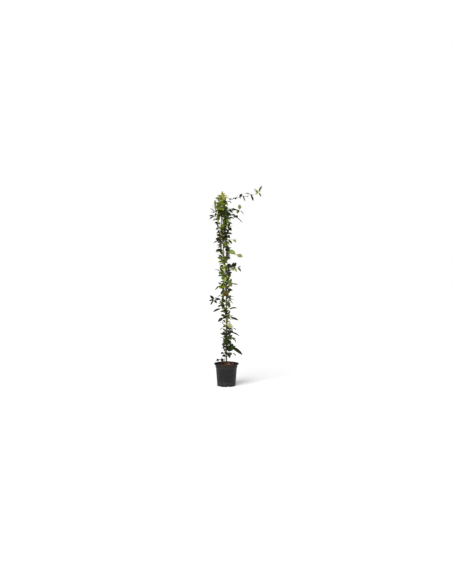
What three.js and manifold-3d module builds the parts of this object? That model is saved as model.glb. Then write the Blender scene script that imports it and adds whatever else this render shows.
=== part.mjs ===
// Star jasmine, an evergreen climber, twined up a bamboo cane in a thin plastic nursery pot.
// Millimetres, +Z up, -Y is the front, +X the right. The origin is the centre of the pot's base.

import * as THREE from "three";
import { mergeVertices } from "three/addons/utils/BufferGeometryUtils.js";
import Module from "manifold-3d";

const wasm = await Module();
wasm.setup();

// Driving dimensions
const restingGap = 0.3; // left between pieces that touch

const potHeight = 171;
const potBaseRadius = 69.5;
const potNeckRadius = 79; // top of the long wall, below the shoulder
const potNeckHeight = 132;
const potCollarRadius = 83; // above the shoulder
const potCollarHeight = 141;
const potRimRadius = 94;
const potWall = 1.6;
const potSegments = 32;
const lipWidth = 8.5; // how far the rolled rim stands out from the wall
const lipDrop = 8; // how far it hangs down
const lipBevel = 1; // along its upper edge
const footWidth = 6;
const floorLift = 4; // underside of the raised floor between the foot ring and the centre disc
const floorSlope = 2; // how far the floor slopes sideways where it steps up
const discRadius = 44; // centre disc that rests on the ground with the foot ring
const notchCount = 6; // drain arches through the foot ring and the wall
const notchRadius = 9;
const notchBearing = 40; // of the first arch, in degrees
const notchDepth = 18;
const notchSides = 12;

const mixEdgeDepth = 25; // headspace between the rim and the potting mix at the wall
const mixDome = [[80, 150], [62, 158], [40, 169], [20, 177], [0, 179]]; // radius and height, inwards
const mixLump = 1.5; // height of the lumps on the mix
const mixLumpSpacingX = 30;
const mixLumpSpacingY = 37;

const caneRadius = 4;
const caneFoot = 25; // the cane is pushed this close to the floor of the pot
const caneTop = 1372;
const caneLean = -40; // how far the cane bows to the left
const caneLeanFrom = 600;
const caneLeanTo = 1400;
const caneFirstJoint = 90;
const caneJointSpacing = 168;
const caneJointHalf = 3; // half the length of the swelling at a joint
const caneJointBulge = 0.6;
const caneSides = 8;

const tieBand = 1.4;
const tieHeight = 5;
const tieHeights = [350, 753, 918, 1150];
const tieSegments = 20;

const leafThickness = 0.9;
const leafStations = [[0.3, 0.47], [0.66, 0.44]]; // shares: how far along the blade, half width there
const leafArch = 0.07; // rise of the blade's middle above a straight line, as a share of its length
const leafOutward = 0.15; // how far the upper face leans away from the cane
const petioleShare = 0.13; // length of the leaf's stalk, as a share of the leaf's
const petioleShortest = 3;
const petioleLongest = 11;
const petioleHalfWidth = 0.6;
const petioleRoot = 0.4; // how far the stalk starts inside the twig
const twigRootRadius = 1.6;
const twigTipRadius = 1.3;
const twigStub = 5; // straight start of a side shoot, square to the stem it grows from
const twigStep = 16;
const twigSides = 4;
const stemStep = 22;
const stemSides = 6;
const youngLeafFrom = 1350; // the height from which leaves are young and yellow-green
const oldLeafBelow = 620;

// The two woody stems. Each row is a height, the distance from the cane's middle, and the bearing
// round it in degrees, with 0 to the right, 90 behind, 180 to the left and 270 in front.
const mainStem = {
  rootRadius: 3.2,
  tipRadius: 1.8,
  keys: [
    [110, 8, 284], [188, 8, 294], [245, 8, 290], [300, 8, 298], [350, 8, 296], [413, 8, 288],
    [451, 9, 268], [485, 11, 262], [520, 11, 250], [568, 16, 218], [618, 22, 188], [660, 22, 170],
    [705, 16, 145], [753, 8, 112], [800, 9, 60], [850, 10, 15], [885, 9, -30], [918, 8, -75],
    [960, 10, -115], [1000, 13, -150], [1050, 14, -180], [1090, 12, -220], [1150, 8, -262],
    [1190, 10, -305], [1225, 12, -350], [1262, 14, -400], [1300, 12, -445], [1340, 12, -500],
    [1375, 10, -550], [1410, 8, -590],
  ],
};
const secondStem = {
  rootRadius: 2.4,
  tipRadius: 1.5,
  keys: [
    [110, 14, 184], [188, 13, 186], [215, 10, 180], [250, 9, 160], [300, 8, 130], [350, 8, 116],
    [413, 9, 78], [451, 10, 50], [485, 11, 30], [510, 14, 10], [528, 16, -15], [546, 14, -60],
    [566, 13, -100], [600, 12, -95], [650, 9, -75], [690, 9, -65], [720, 9, -50], [753, 8, -50],
    [800, 9, -100], [850, 10, -150], [885, 9, -200], [918, 8, -250], [960, 12, -310],
    [1000, 20, -350], [1030, 23, -373], [1060, 20, -395], [1100, 12, -425], [1150, 8, -442],
    [1190, 14, -430], [1220, 26, -390], [1250, 35, -365], [1280, 34, -350], [1310, 26, -330],
    [1350, 20, -310], [1390, 18, -290], [1420, 16, -280],
  ],
};

// Side shoots, from the bottom up. Each has the height and the bearing where it leaves a stem, the
// points that its twig passes through, and its leaves. A leaf is the number of the twig point that
// it grows from, its tip, its width, and how far its upper face turns from the sky (0) to the front
// (1) or the back (-1).
const shoots = [
  {
    seat: [250, 195],
    path: [[-19, -16, 240], [-37, -22, 211], [-54, -26, 203]],
    leaves: [
      [0.4, -42, -24, 244, 22, 0.5], [3, -74, -32, 192, 24, 0.5], [3, -58, -64, 198, 24, 0.3],
      [2, -24, -52, 186, 24, 0.4], [3, -92, -8, 178, 24, 0],
    ],
  },
  {
    seat: [252, 310],
    path: [[22, -32, 257], [41, -36, 254]],
    leaves: [
      [1, 47, -20, 323, 40, 0.9], [1, 14, -38, 314, 26, 0.8], [2, 20, -56, 236, 22, 0.5],
      [2, 73, -46, 229, 12, 0.2], [0, 17, -24, 225, 12, 0.5],
    ],
  },
  {
    seat: [297, 350],
    path: [[28, -12, 301], [50, -16, 286]],
    leaves: [[1.4, 122, -34, 238, 30, 0.6], [0.6, 44, -6, 327, 18, 0], [2, 64, 34, 300, 24, 0]],
  },
  {
    seat: [290, 265],
    path: [[-3, -22, 302], [0, -25, 336], [4, -26, 362], [8, -28, 384]],
    leaves: [
      [1, -27, -34, 293, 22, 0.5], [2, -33, -36, 309, 24, 0.7], [2.4, 34, -58, 324, 32, 0.5],
      [3, 4, -64, 332, 30, 0.6], [3.6, -6, -56, 356, 28, 0.5], [4, 2, -54, 350, 30, 0.7],
      [4, 38, -46, 354, 32, 0.6], [4, 36, -30, 404, 16, 0.5], [4, -12, -44, 376, 28, 0.8],
    ],
  },
  {
    seat: [372, 10],
    path: [[20, -2, 380], [44, -4, 366]],
    leaves: [
      [2, 74, -12, 326, 10, 0.4], [1.8, 58, -44, 350, 22, 0.3], [1, 36, -18, 402, 18, 0.5],
      [2, 72, 28, 352, 18, 0],
    ],
  },
  {
    seat: [400, 345],
    path: [[22, -14, 408], [23, -12, 434]],
    leaves: [[1, 100, -24, 379, 15, 0.4], [2, 24, -4, 478, 24, 0.8], [1, 52, 26, 404, 20, 0]],
  },
  {
    seat: [404, 200],
    path: [[-12, -14, 411]],
    leaves: [[0.6, -21, -44, 391, 30, 0.7], [1, -26, 14, 410, 18, 0]],
  },
  {
    seat: [440, 5],
    path: [[22, 2, 446], [42, 2, 442]],
    leaves: [[2, 78, -4, 420, 12, 0.2], [2, 34, 44, 450, 20, 0]],
  },
  {
    seat: [446, 175],
    path: [[-14, 4, 449], [-21, 4, 443]],
    leaves: [[2, -47, -6, 421, 12, 0.2], [1, -26, 42, 450, 18, 0]],
  },
  {
    seat: [518, 355],
    path: [[27, -4, 528]],
    leaves: [[0.2, 91, -20, 498, 20, 0.5], [0.4, 6, -44, 520, 26, 0.6], [1, 36, 46, 518, 22, 0]],
  },
  {
    seat: [512, 215],
    path: [[-18, -20, 517], [-17, -20, 494], [-16, -20, 480]],
    leaves: [
      [1, -63, -24, 487, 22, 0.6], [0.3, -16, -44, 538, 24, 0.6], [3, -51, -24, 481, 12, 0.1],
      [3, -30, 14, 470, 18, 0],
    ],
  },
  {
    seat: [583, 280],
    path: [[4, -24, 587], [24, -22, 588]],
    leaves: [
      [1, -32, -40, 586, 22, 0.4], [2, 79, -28, 592, 15, 0.4], [2, 44, 14, 584, 18, 0],
      [2, 14, -8, 642, 22, 0.6], [1, 0, -62, 580, 18, 0.2], [2, 45, -34, 585, 18, 0.5],
      [1, -22, -44, 560, 24, 0.5],
    ],
  },
  {
    seat: [606, 190],
    path: [[-38, -8, 612]],
    leaves: [[1, -66, 0, 596, 18, 0.3], [1, -54, -44, 600, 20, 0.2]],
  },
  {
    seat: [578, 195],
    path: [[-38, -14, 587]],
    leaves: [[1, -102, -24, 560, 20, 0.5], [1, -56, 28, 580, 20, 0]],
  },
  {
    seat: [645, 300],
    path: [[18, -22, 650]],
    leaves: [
      [1, 59, -30, 655, 16, 0.1], [1, 10, -40, 603, 24, 0.4], [1, 51, 0, 617, 16, 0.2],
      [0.5, -42, -32, 634, 16, 0.3],
    ],
  },
  {
    seat: [672, 0],
    path: [[24, -4, 676]],
    leaves: [[1, 63, -10, 672, 16, 0.1], [1, 30, 40, 672, 18, 0]],
  },
  {
    seat: [682, 255],
    path: [[-1, -24, 688], [-3, -28, 694]],
    leaves: [
      [2, 4, -17, 723, 24, 0.8], [2, -30, -32, 704, 22, 0.6], [1, 19, -34, 697, 22, 0.6],
      [1, -14, -50, 680, 22, 0.4], [1, -36, -16, 688, 20, 0.4],
    ],
  },
  {
    seat: [722, 330],
    path: [[14, -14, 728]],
    leaves: [[1, 30, -42, 727, 20, 0.5], [1, 52, 8, 722, 18, 0]],
  },
  {
    seat: [700, 170],
    path: [[-40, 4, 692], [-58, -4, 681], [-79, -8, 662], [-91, -10, 653]],
    leaves: [
      [4, -125, -14, 686, 20, 0.5], [4, -132, -20, 643, 20, 0.5], [4, -72, -28, 628, 18, 0.6],
      [3.7, -42, -32, 656, 20, 0.6], [4, -118, -44, 613, 16, 0.3], [3, -94, 30, 666, 20, 0],
      [2, -36, 34, 692, 20, 0],
    ],
  },
  {
    seat: [761, 180],
    path: [[-28, 4, 760], [-46, -4, 762]],
    leaves: [
      [2, -85, -14, 725, 15, 0.5], [1, -31, -36, 731, 24, 0.3], [1, -34, -30, 778, 20, 0.5],
      [2, -46, -40, 738, 20, 0.2], [2, -62, 30, 784, 18, 0],
    ],
  },
  {
    seat: [800, 290],
    path: [[6, -20, 806]],
    leaves: [[1, 40, -44, 752, 30, 0.6], [1, 28, -12, 846, 20, 0.5], [1, -16, -46, 778, 16, 0.3]],
  },
  {
    seat: [775, 345],
    path: [[24, -12, 776], [43, -12, 772]],
    leaves: [[2, 87, -18, 768, 14, 0.4], [2, 54, 34, 778, 20, 0], [1, 40, 0, 812, 18, 0.4]],
  },
  {
    seat: [830, 240],
    path: [[-16, -20, 832]],
    leaves: [
      [1, -12, -48, 787, 32, 0.7], [1, -25, -6, 872, 16, 0.7], [1, 8, -38, 848, 16, 0.2],
      [1, -66, -30, 832, 18, 0.3], [1, -36, -46, 806, 20, 0.4],
    ],
  },
  {
    seat: [862, 185],
    path: [[-37, -6, 864]],
    leaves: [
      [1, -37, 6, 918, 20, 0.6], [1, -92, -14, 882, 18, 0.3], [1, -56, 34, 858, 20, 0],
      [1, -52, -36, 842, 20, 0.4],
    ],
  },
  {
    seat: [872, 250],
    path: [[-22, -20, 880], [-21, -22, 895]],
    leaves: [[2, -19, -20, 926, 14, 0.5], [2, -20, -50, 870, 22, 0.6], [2, -44, -44, 892, 18, 0.1]],
  },
  {
    seat: [848, 355],
    path: [[14, -4, 852], [21, -8, 858]],
    leaves: [
      [2, 28, -36, 826, 18, 0.3], [2, 14, 2, 892, 16, 0.5], [1, 22, 42, 856, 20, 0],
      [1, 38, -22, 876, 18, 0.3],
    ],
  },
  {
    seat: [888, 340],
    path: [[12, -16, 894], [34, -20, 898], [58, -22, 896], [84, -24, 896]],
    leaves: [
      [1, 30, -14, 926, 24, 0.6], [1, 14, -46, 904, 24, 0.5], [2, 58, -30, 937, 16, 0.5],
      [2, 54, 14, 914, 18, 0], [3, 73, -12, 936, 20, 0.6], [2, 52, -50, 872, 24, 0.5],
      [3, 78, -36, 864, 20, 0.5], [4, 109, -28, 904, 14, 0.4], [4, 106, 8, 884, 14, 0],
      [4, 107, -46, 866, 18, 0.4], [3, 66, 18, 890, 18, 0], [2, 58, -46, 907, 18, 0.5],
    ],
  },
  {
    seat: [932, 265],
    path: [[-16, -22, 938], [-14, -22, 950]],
    leaves: [[2, -12, -6, 984, 16, 0.6], [1, -34, -46, 932, 16, 0.2], [2, 8, -46, 942, 16, 0.2]],
  },
  {
    seat: [975, 190],
    path: [[-36, -12, 981]],
    leaves: [[1, -67, -20, 994, 12, 0.2], [1, -52, 28, 980, 20, 0]],
  },
  {
    seat: [960, 20],
    path: [[8, 4, 964]],
    leaves: [[1, 27, -14, 984, 18, 0.5], [1, 30, 44, 966, 22, 0]],
  },
  {
    seat: [1018, 345],
    path: [[16, -14, 1030], [44, -20, 1004], [74, -22, 990]],
    leaves: [[1, 68, -38, 998, 36, 0.85], [3, 122, -26, 979, 28, 0.7], [3, 94, 20, 994, 18, 0]],
  },
  {
    seat: [1036, 185],
    path: [[-44, -4, 1034]],
    leaves: [[1, -80, -14, 1014, 24, 0.6], [1, -68, 32, 1030, 20, 0]],
  },
  {
    seat: [1048, 300],
    path: [[-4, -26, 1056], [1, -26, 1068]],
    leaves: [
      [2, 20, -24, 1092, 18, 0.5], [1, -22, -46, 1040, 18, 0.3], [2, -12, -16, 1096, 18, 0.4],
      [1, 22, -42, 1038, 18, 0.2], [2, 34, 0, 1072, 20, 0.1], [1, -34, -24, 1080, 18, 0.5],
      [2, 4, -60, 1058, 16, 0.1],
    ],
  },
  {
    seat: [1096, 180],
    path: [[-54, 0, 1100]],
    leaves: [[1, -82, -14, 1117, 28, 0.6], [1, -98, -10, 1082, 18, 0.25], [1, -66, 38, 1100, 20, 0]],
  },
  {
    seat: [1100, 325],
    path: [[0, -20, 1107], [22, -22, 1110], [50, -20, 1108]],
    leaves: [[1.7, 42, -40, 1074, 20, 0.5], [3, 72, -34, 1086, 24, 0.6], [3, 84, 6, 1112, 16, 0]],
  },
  {
    seat: [1110, 150],
    path: [
      [-50, 8, 1122], [-53, 4, 1160], [-56, 2, 1200], [-58, 0, 1234], [-64, -2, 1262],
    ],
    leaves: [
      [1, -66, -26, 1124, 18, 0.2], [2, -73, -22, 1155, 18, 0.5], [2, -40, -30, 1148, 20, 0.4],
      [5, -92, 26, 1272, 20, 0], [2, -62, 40, 1164, 20, 0], [3, -76, -20, 1184, 18, 0.5],
      [3, -44, -36, 1188, 22, 0.5], [4, -88, -22, 1231, 24, 0.6], [4, -48, -36, 1218, 22, 0.5],
      [4, -66, 38, 1234, 20, 0], [5, -103, -22, 1247, 22, 0.3], [5, -50, 6, 1298, 18, 0.5],
    ],
  },
  {
    seat: [1130, 300],
    path: [[-12, -24, 1136], [2, -28, 1142], [12, -28, 1152]],
    leaves: [
      [1, -2, -50, 1108, 20, 0.3], [2, 26, -46, 1116, 26, 0.6], [1, -34, -40, 1164, 20, 0.5],
      [3, 34, 20, 1160, 20, -0.2], [3, 43, -32, 1148, 18, 0.4], [3, 10, -14, 1186, 18, 0.5],
      [2, -26, -54, 1132, 16, 0.1],
    ],
  },
  {
    seat: [1182, 300],
    path: [[-6, -28, 1192], [14, -28, 1198]],
    leaves: [
      [2, 36, -52, 1170, 28, 0.6], [2, 50, -22, 1212, 18, 0.1], [2, 34, 22, 1196, 20, -0.2],
      [1, -8, -58, 1176, 18, 0.3], [2, 22, -6, 1236, 18, 0.5],
    ],
  },
  {
    seat: [1212, 290],
    path: [[-8, -26, 1220], [8, -30, 1230]],
    leaves: [
      [2, 44, -38, 1224, 18, 0.4], [1, -30, -34, 1256, 20, 0.5], [2, 34, 8, 1240, 18, 0],
      [1, -32, -48, 1200, 22, 0.5], [1, 10, -58, 1204, 20, 0.4], [2, 2, -20, 1266, 16, 0.5],
    ],
  },
  {
    seat: [1266, 335],
    path: [[14, -12, 1273]],
    leaves: [[1, 56, -24, 1264, 22, 0.4], [1, 22, -54, 1252, 20, 0.4], [1, 34, 32, 1270, 22, 0]],
  },
  {
    seat: [1284, 0],
    path: [[30, -2, 1292], [62, -4, 1289]],
    leaves: [[2, 120, -16, 1234, 10, 0.35], [2, 84, -24, 1270, 26, 0.6], [2, 74, 34, 1296, 18, 0]],
  },
  {
    seat: [1318, 10],
    path: [[20, 8, 1327], [48, 0, 1331], [74, -4, 1332], [98, -6, 1332]],
    leaves: [
      [2, 42, -46, 1322, 20, 0.4], [3, 88, -44, 1328, 16, 0.2], [3, 72, 32, 1338, 18, 0],
      [4, 100, 2, 1374, 25, 0.8], [4, 131, -20, 1293, 14, 0.2], [3.4, 49, -26, 1328, 18, 0.5],
      [4, 78, -30, 1302, 20, 0.5], [2, 42, 40, 1334, 18, 0],
    ],
  },
  {
    seat: [1300, 300],
    path: [[-24, -26, 1309], [-8, -28, 1311]],
    leaves: [
      [2, 36, -44, 1283, 26, 0.5], [1, -22, -64, 1276, 22, 0.4], [2, 18, -64, 1300, 20, 0.3],
      [1, -34, -64, 1300, 20, 0.3], [2, 2, -14, 1344, 18, 0.4],
    ],
  },
  {
    seat: [1332, 320],
    path: [[-4, 0, 1338], [11, -4, 1336]],
    leaves: [
      [2, 46, -18, 1304, 22, 0.5], [2, 26, 36, 1340, 20, 0], [1, 6, 38, 1362, 20, -0.3],
      [1, -18, 46, 1322, 20, -0.3],
    ],
  },
  {
    seat: [1318, 190],
    path: [[-64, -14, 1319], [-86, -16, 1317]],
    leaves: [
      [2, -123, -22, 1342, 10, 0.4], [2, -96, -56, 1302, 20, 0.3], [1, -76, 24, 1326, 20, 0],
      [1, -58, -58, 1312, 22, 0.4], [1, -46, -48, 1286, 24, 0.6], [2, -120, 12, 1312, 18, 0],
    ],
  },
  {
    seat: [1278, 200],
    path: [[-60, -20, 1282], [-86, -22, 1282]],
    leaves: [
      [2, -129, -32, 1284, 18, 0.4], [2, -127, -38, 1260, 16, 0.35], [2, -92, -64, 1276, 18, 0.3],
      [1, -66, -56, 1262, 20, 0.4], [1, -58, -48, 1244, 24, 0.6], [2, -72, -40, 1300, 22, 0.5],
      [1, -90, 18, 1288, 18, 0],
    ],
  },
  {
    seat: [1350, 185],
    path: [[-68, -6, 1354], [-80, -8, 1358]],
    leaves: [
      [2, -112, -16, 1360, 12, 0.3], [2, -87, 0, 1407, 18, 0.4], [1, -84, -46, 1340, 24, 0.5],
      [2, -88, 34, 1352, 18, 0], [1, -60, -38, 1392, 20, 0.4], [1, -64, 38, 1366, 18, -0.2],
    ],
  },
  {
    seat: [1345, 260],
    path: [[-46, -24, 1352], [-42, -28, 1364]],
    leaves: [
      [1, -70, -54, 1322, 26, 0.6], [1, -24, -54, 1326, 26, 0.6], [2, -70, -42, 1384, 22, 0.5],
      [2, -10, -40, 1376, 22, 0.5], [2, -28, -14, 1404, 20, 0.6], [2, -42, -66, 1350, 20, 0.3],
    ],
  },
  {
    seat: [1398, 250],
    path: [[-42, -14, 1412], [-36, -16, 1428], [-32, -14, 1440]],
    leaves: [
      [3, -31, -6, 1475, 10, 0.4], [3, -10, -18, 1456, 16, 0.4], [3, 14, -22, 1434, 16, 0.4],
      [2, 16, -30, 1418, 16, 0.3], [2, -70, -20, 1438, 16, 0.3], [1, -76, -22, 1414, 16, 0.3],
      [1, -46, -46, 1392, 22, 0.6], [2, -14, -44, 1404, 22, 0.6], [2, -52, -46, 1418, 20, 0.5],
      [1, -56, 30, 1424, 18, -0.2], [2, -36, 26, 1450, 16, -0.2], [3, -44, 16, 1462, 14, 0],
    ],
  },
  {
    seat: [1385, 330],
    path: [[-18, 4, 1395], [-6, 0, 1399]],
    leaves: [
      [2, 42, -14, 1381, 14, 0.3], [1, 10, -28, 1360, 18, 0.4], [2, 6, 34, 1402, 18, 0],
      [1, -24, 50, 1384, 20, -0.3],
    ],
  },
];

// The long young runner that feels its way out to the right from the top
const runner = {
  seat: [1412, 5],
  path: [
    [-12, 10, 1420], [8, 4, 1424], [30, -2, 1418], [53, -6, 1416], [75, -8, 1426],
    [96, -8, 1427], [123, -10, 1437], [150, -10, 1434], [181, -10, 1448], [206, -10, 1446],
    [230, -8, 1458], [243, -6, 1466],
  ],
  leaves: [
    [3, 26, -30, 1400, 14, 0.3], [3, 44, 26, 1412, 14, 0], [4, 60, -30, 1421, 14, 0.4],
    [5, 78, 18, 1432, 12, 0], [6, 120, -18, 1450, 20, 0.8], [6, 106, -36, 1412, 12, 0.3],
    [7, 141, -16, 1395, 12, 0.4], [7, 136, 22, 1430, 14, 0], [9, 138, -20, 1454, 13, 0.5],
    [8, 160, -38, 1424, 12, 0.3], [9, 202, -16, 1398, 15, 0.5], [9, 196, 24, 1440, 14, 0],
    [12, 221, -16, 1446, 14, 0.5], [5, 66, -26, 1408, 12, 0.5], [12, 261, -10, 1430, 16, 0.5],
    [12, 206, -14, 1486, 17, 0.6], [12, 268, -8, 1514, 16, 0.4], [12, 216, -8, 1468, 13, 0.5],
    [12, 262, 22, 1478, 14, 0],
  ],
};

const materials = {
  pot: { color: 0x323034, roughness: 0.55 },
  mix: { color: 0x5a3c2d, roughness: 0.95 },
  cane: { color: 0xc4a878, roughness: 0.6 },
  wood: { color: 0x4a3528, roughness: 0.85 },
  tie: { color: 0xd8ccb0, roughness: 0.5 },
  oldLeaf: { color: 0x2c3c1c, roughness: 0.4 },
  leaf: { color: 0x44552a, roughness: 0.4 },
  youngLeaf: { color: 0x7a8438, roughness: 0.45 },
};

const part = new THREE.Group();

function addPiece(name, geometry, finish) {
  const mesh = new THREE.Mesh(geometry, new THREE.MeshStandardMaterial({ metalness: 0, ...finish }));
  mesh.name = name;
  part.add(mesh);
}

// Solids

function toSolid(geometry) {
  const sameCornerWithin = 1e-4;
  const bare = geometry.clone();
  bare.deleteAttribute("normal");
  bare.deleteAttribute("uv");
  const merged = mergeVertices(bare, sameCornerWithin);
  const corners = merged.index.array;
  const triangles = [];
  for (let i = 0; i < corners.length; i += 3) {
    const [a, b, c] = corners.slice(i, i + 3);
    if (a !== b && b !== c && c !== a) triangles.push(a, b, c);
  }
  const vertProperties = new Float32Array(merged.attributes.position.array);
  const triVerts = new Uint32Array(triangles);
  return new wasm.Manifold(new wasm.Mesh({ numProp: 3, vertProperties, triVerts }));
}

function toGeometry(solid) {
  const { vertProperties, triVerts } = solid.getMesh();
  const geometry = new THREE.BufferGeometry();
  geometry.setAttribute("position", new THREE.BufferAttribute(vertProperties, 3));
  geometry.setIndex(new THREE.BufferAttribute(triVerts, 1));
  geometry.computeVertexNormals();
  return geometry;
}

// A closed skin over a row of rings with the same number of corners, which run anticlockwise seen
// from the far end. A ring of one corner closes the skin in a point, and any other end is flat.
function loft(rings) {
  const points = rings.flat();
  const starts = rings.map((ring, i) => rings.slice(0, i).flat().length);
  const triangles = [];
  for (let i = 0; i + 1 < rings.length; i++) {
    const corners = rings[i].length;
    for (let k = 0; k < corners; k++) {
      const a = starts[i] + k;
      const b = starts[i] + ((k + 1) % corners);
      if (rings[i + 1].length === 1) {
        triangles.push(a, b, starts[i + 1]);
      } else {
        const c = starts[i + 1] + ((k + 1) % corners);
        const d = starts[i + 1] + k;
        triangles.push(a, b, c, a, c, d);
      }
    }
  }
  const last = starts[rings.length - 1];
  for (let k = 1; k + 1 < rings[0].length; k++) triangles.push(0, k + 1, k);
  for (let k = 1; k + 1 < rings.at(-1).length; k++) triangles.push(last, last + k, last + k + 1);
  const geometry = new THREE.BufferGeometry().setFromPoints(points);
  geometry.setIndex(triangles);
  geometry.computeVertexNormals();
  return geometry;
}

// A round bar along a row of points, with a radius at each. Its rings don't twist.
function bar(points, radii, sides) {
  const steep = 0.9;
  let across = null;
  const rings = points.map((point, i) => {
    const before = points[Math.max(i - 1, 0)];
    const after = points[Math.min(i + 1, points.length - 1)];
    const along = after.clone().sub(before).normalize();
    if (!across) {
      const side = Math.abs(along.z) > steep ? new THREE.Vector3(1, 0, 0) : new THREE.Vector3(0, 0, 1);
      across = side.cross(along);
    }
    across.addScaledVector(along, -across.dot(along)).normalize();
    const up = along.clone().cross(across);
    return Array.from({ length: sides }, (_, k) => {
      const angle = (2 * Math.PI * k) / sides;
      return point
        .clone()
        .addScaledVector(across, radii[i] * Math.cos(angle))
        .addScaledVector(up, radii[i] * Math.sin(angle));
    });
  });
  return loft(rings);
}

// A turned piece from an outline of radius and height pairs, which runs anticlockwise in the plane
// with the radius to the right and the height up.
function turned(outline, segments) {
  const profile = outline.map(([radius, height]) => new THREE.Vector2(radius, height));
  return new THREE.LatheGeometry(profile, segments).rotateX(Math.PI / 2);
}

// Places on the stems

// The value of each column of keys at a height, on a smooth curve through the rows.
function keyedAt(keys, height) {
  const last = keys.length - 1;
  let i = 0;
  while (i < last - 1 && height > keys[i + 1][0]) i++;
  const slope = (k, column) => {
    const low = keys[Math.max(k - 1, 0)];
    const high = keys[Math.min(k + 1, last)];
    return (high[column] - low[column]) / (high[0] - low[0]);
  };
  const span = keys[i + 1][0] - keys[i][0];
  const t = THREE.MathUtils.clamp((height - keys[i][0]) / span, 0, 1);
  return [1, 2].map((column) => {
    const start = keys[i][column];
    const rise = keys[i + 1][column] - start;
    const startSlope = slope(i, column) * span;
    const endSlope = slope(i + 1, column) * span;
    const bend = (1 - t) * (startSlope - rise) - t * (endSlope - rise);
    return start + rise * t + t * (1 - t) * bend;
  });
}

function heading(bearing) {
  const angle = THREE.MathUtils.degToRad(bearing);
  return new THREE.Vector3(Math.cos(angle), Math.sin(angle), 0);
}

function caneCentre(height) {
  const lean = caneLean * THREE.MathUtils.smoothstep(height, caneLeanFrom, caneLeanTo);
  return new THREE.Vector3(lean, 0, height);
}

function stemCentre(stem, height) {
  const [distance, bearing] = keyedAt(stem.keys, height);
  return caneCentre(height).addScaledVector(heading(bearing), distance);
}

function stemRadius(stem, height) {
  const share = THREE.MathUtils.inverseLerp(stem.keys[0][0], stem.keys.at(-1)[0], height);
  return THREE.MathUtils.lerp(stem.rootRadius, stem.tipRadius, THREE.MathUtils.clamp(share, 0, 1));
}

// The heights of the rings that a stem is built from
function ringHeights(stem, top) {
  const foot = stem.keys[0][0];
  const count = Math.ceil((top - foot) / stemStep);
  return Array.from({ length: count + 1 }, (_, i) => Math.min(foot + i * stemStep, top));
}

function makeStem(stem) {
  const heights = ringHeights(stem, stem.keys.at(-1)[0]);
  const points = heights.map((height) => stemCentre(stem, height));
  return bar(points, heights.map((height) => stemRadius(stem, height)), stemSides);
}

// The middle of a stem as built, straight between its rings
function stemMiddle(stem, height) {
  const foot = stem.keys[0][0];
  const low = foot + Math.floor((height - foot) / stemStep) * stemStep;
  const share = (height - low) / stemStep;
  return stemCentre(stem, low).lerp(stemCentre(stem, low + stemStep), share);
}

// The start of a side shoot, on the stem that stands furthest towards its bearing, and a point a
// little further out. Where the stem leans towards the shoot or away, its skin lies further out.
function seatPoints([height, bearing]) {
  const out = heading(bearing);
  const reach = (stem, z) => stemMiddle(stem, z).dot(out);
  const stem = reach(mainStem, height) > reach(secondStem, height) ? mainStem : secondStem;
  const slope = Math.abs(reach(stem, height + 1) - reach(stem, height - 1)) / 2;
  const skin = stemRadius(stem, height) * Math.hypot(1, slope) + twigRootRadius * slope;
  const start = stemMiddle(stem, height).addScaledVector(out, skin + restingGap);
  return [start, start.clone().addScaledVector(out, twigStub)];
}

// Pot: a thin tapered wall with a rolled rim, and a raised floor between a foot ring and a disc

// The outside of the wall: a long taper, a shoulder and a collar
function potWallRadius(height) {
  const { lerp, inverseLerp } = THREE.MathUtils;
  if (height <= potNeckHeight) {
    return lerp(potBaseRadius, potNeckRadius, height / potNeckHeight);
  }
  if (height <= potCollarHeight) {
    return lerp(potNeckRadius, potCollarRadius, inverseLerp(potNeckHeight, potCollarHeight, height));
  }
  const top = potRimRadius - lipWidth;
  return lerp(potCollarRadius, top, inverseLerp(potCollarHeight, potHeight, height));
}

function makePot() {
  const floorTop = floorLift + potWall;
  const lipInside = potRimRadius - potWall;
  const lipTop = potHeight - potWall;
  const outline = [
    [0, 0], [discRadius, 0], [discRadius + floorSlope, floorLift],
    [potBaseRadius - footWidth - floorSlope / 2, floorLift], [potBaseRadius - footWidth, 0],
    [potBaseRadius, 0], [potNeckRadius, potNeckHeight], [potCollarRadius, potCollarHeight],
    [potWallRadius(lipTop), lipTop],
    [lipInside, lipTop], [lipInside, potHeight - lipDrop], [potRimRadius, potHeight - lipDrop],
    [potRimRadius, potHeight - lipBevel], [potRimRadius - lipBevel, potHeight],
    [potWallRadius(potHeight) - potWall, potHeight], [potCollarRadius - potWall, potCollarHeight],
    [potNeckRadius - potWall, potNeckHeight], [potWallRadius(floorTop) - potWall, floorTop],
    [discRadius + floorSlope / 2, floorTop], [discRadius - floorSlope / 2, potWall], [0, potWall],
  ];
  let pot = toSolid(turned(outline, potSegments));
  for (let i = 0; i < notchCount; i++) {
    const arch = new THREE.CylinderGeometry(notchRadius, notchRadius, notchDepth, notchSides);
    arch.rotateZ(Math.PI / 2).translate(potBaseRadius, 0, 0);
    arch.rotateZ(THREE.MathUtils.degToRad(notchBearing) + (2 * Math.PI * i) / notchCount);
    pot = pot.subtract(toSolid(arch));
  }
  return toGeometry(pot);
}

// Potting mix: fills the pot with a gap all round, and its top is domed and lumpy

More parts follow.
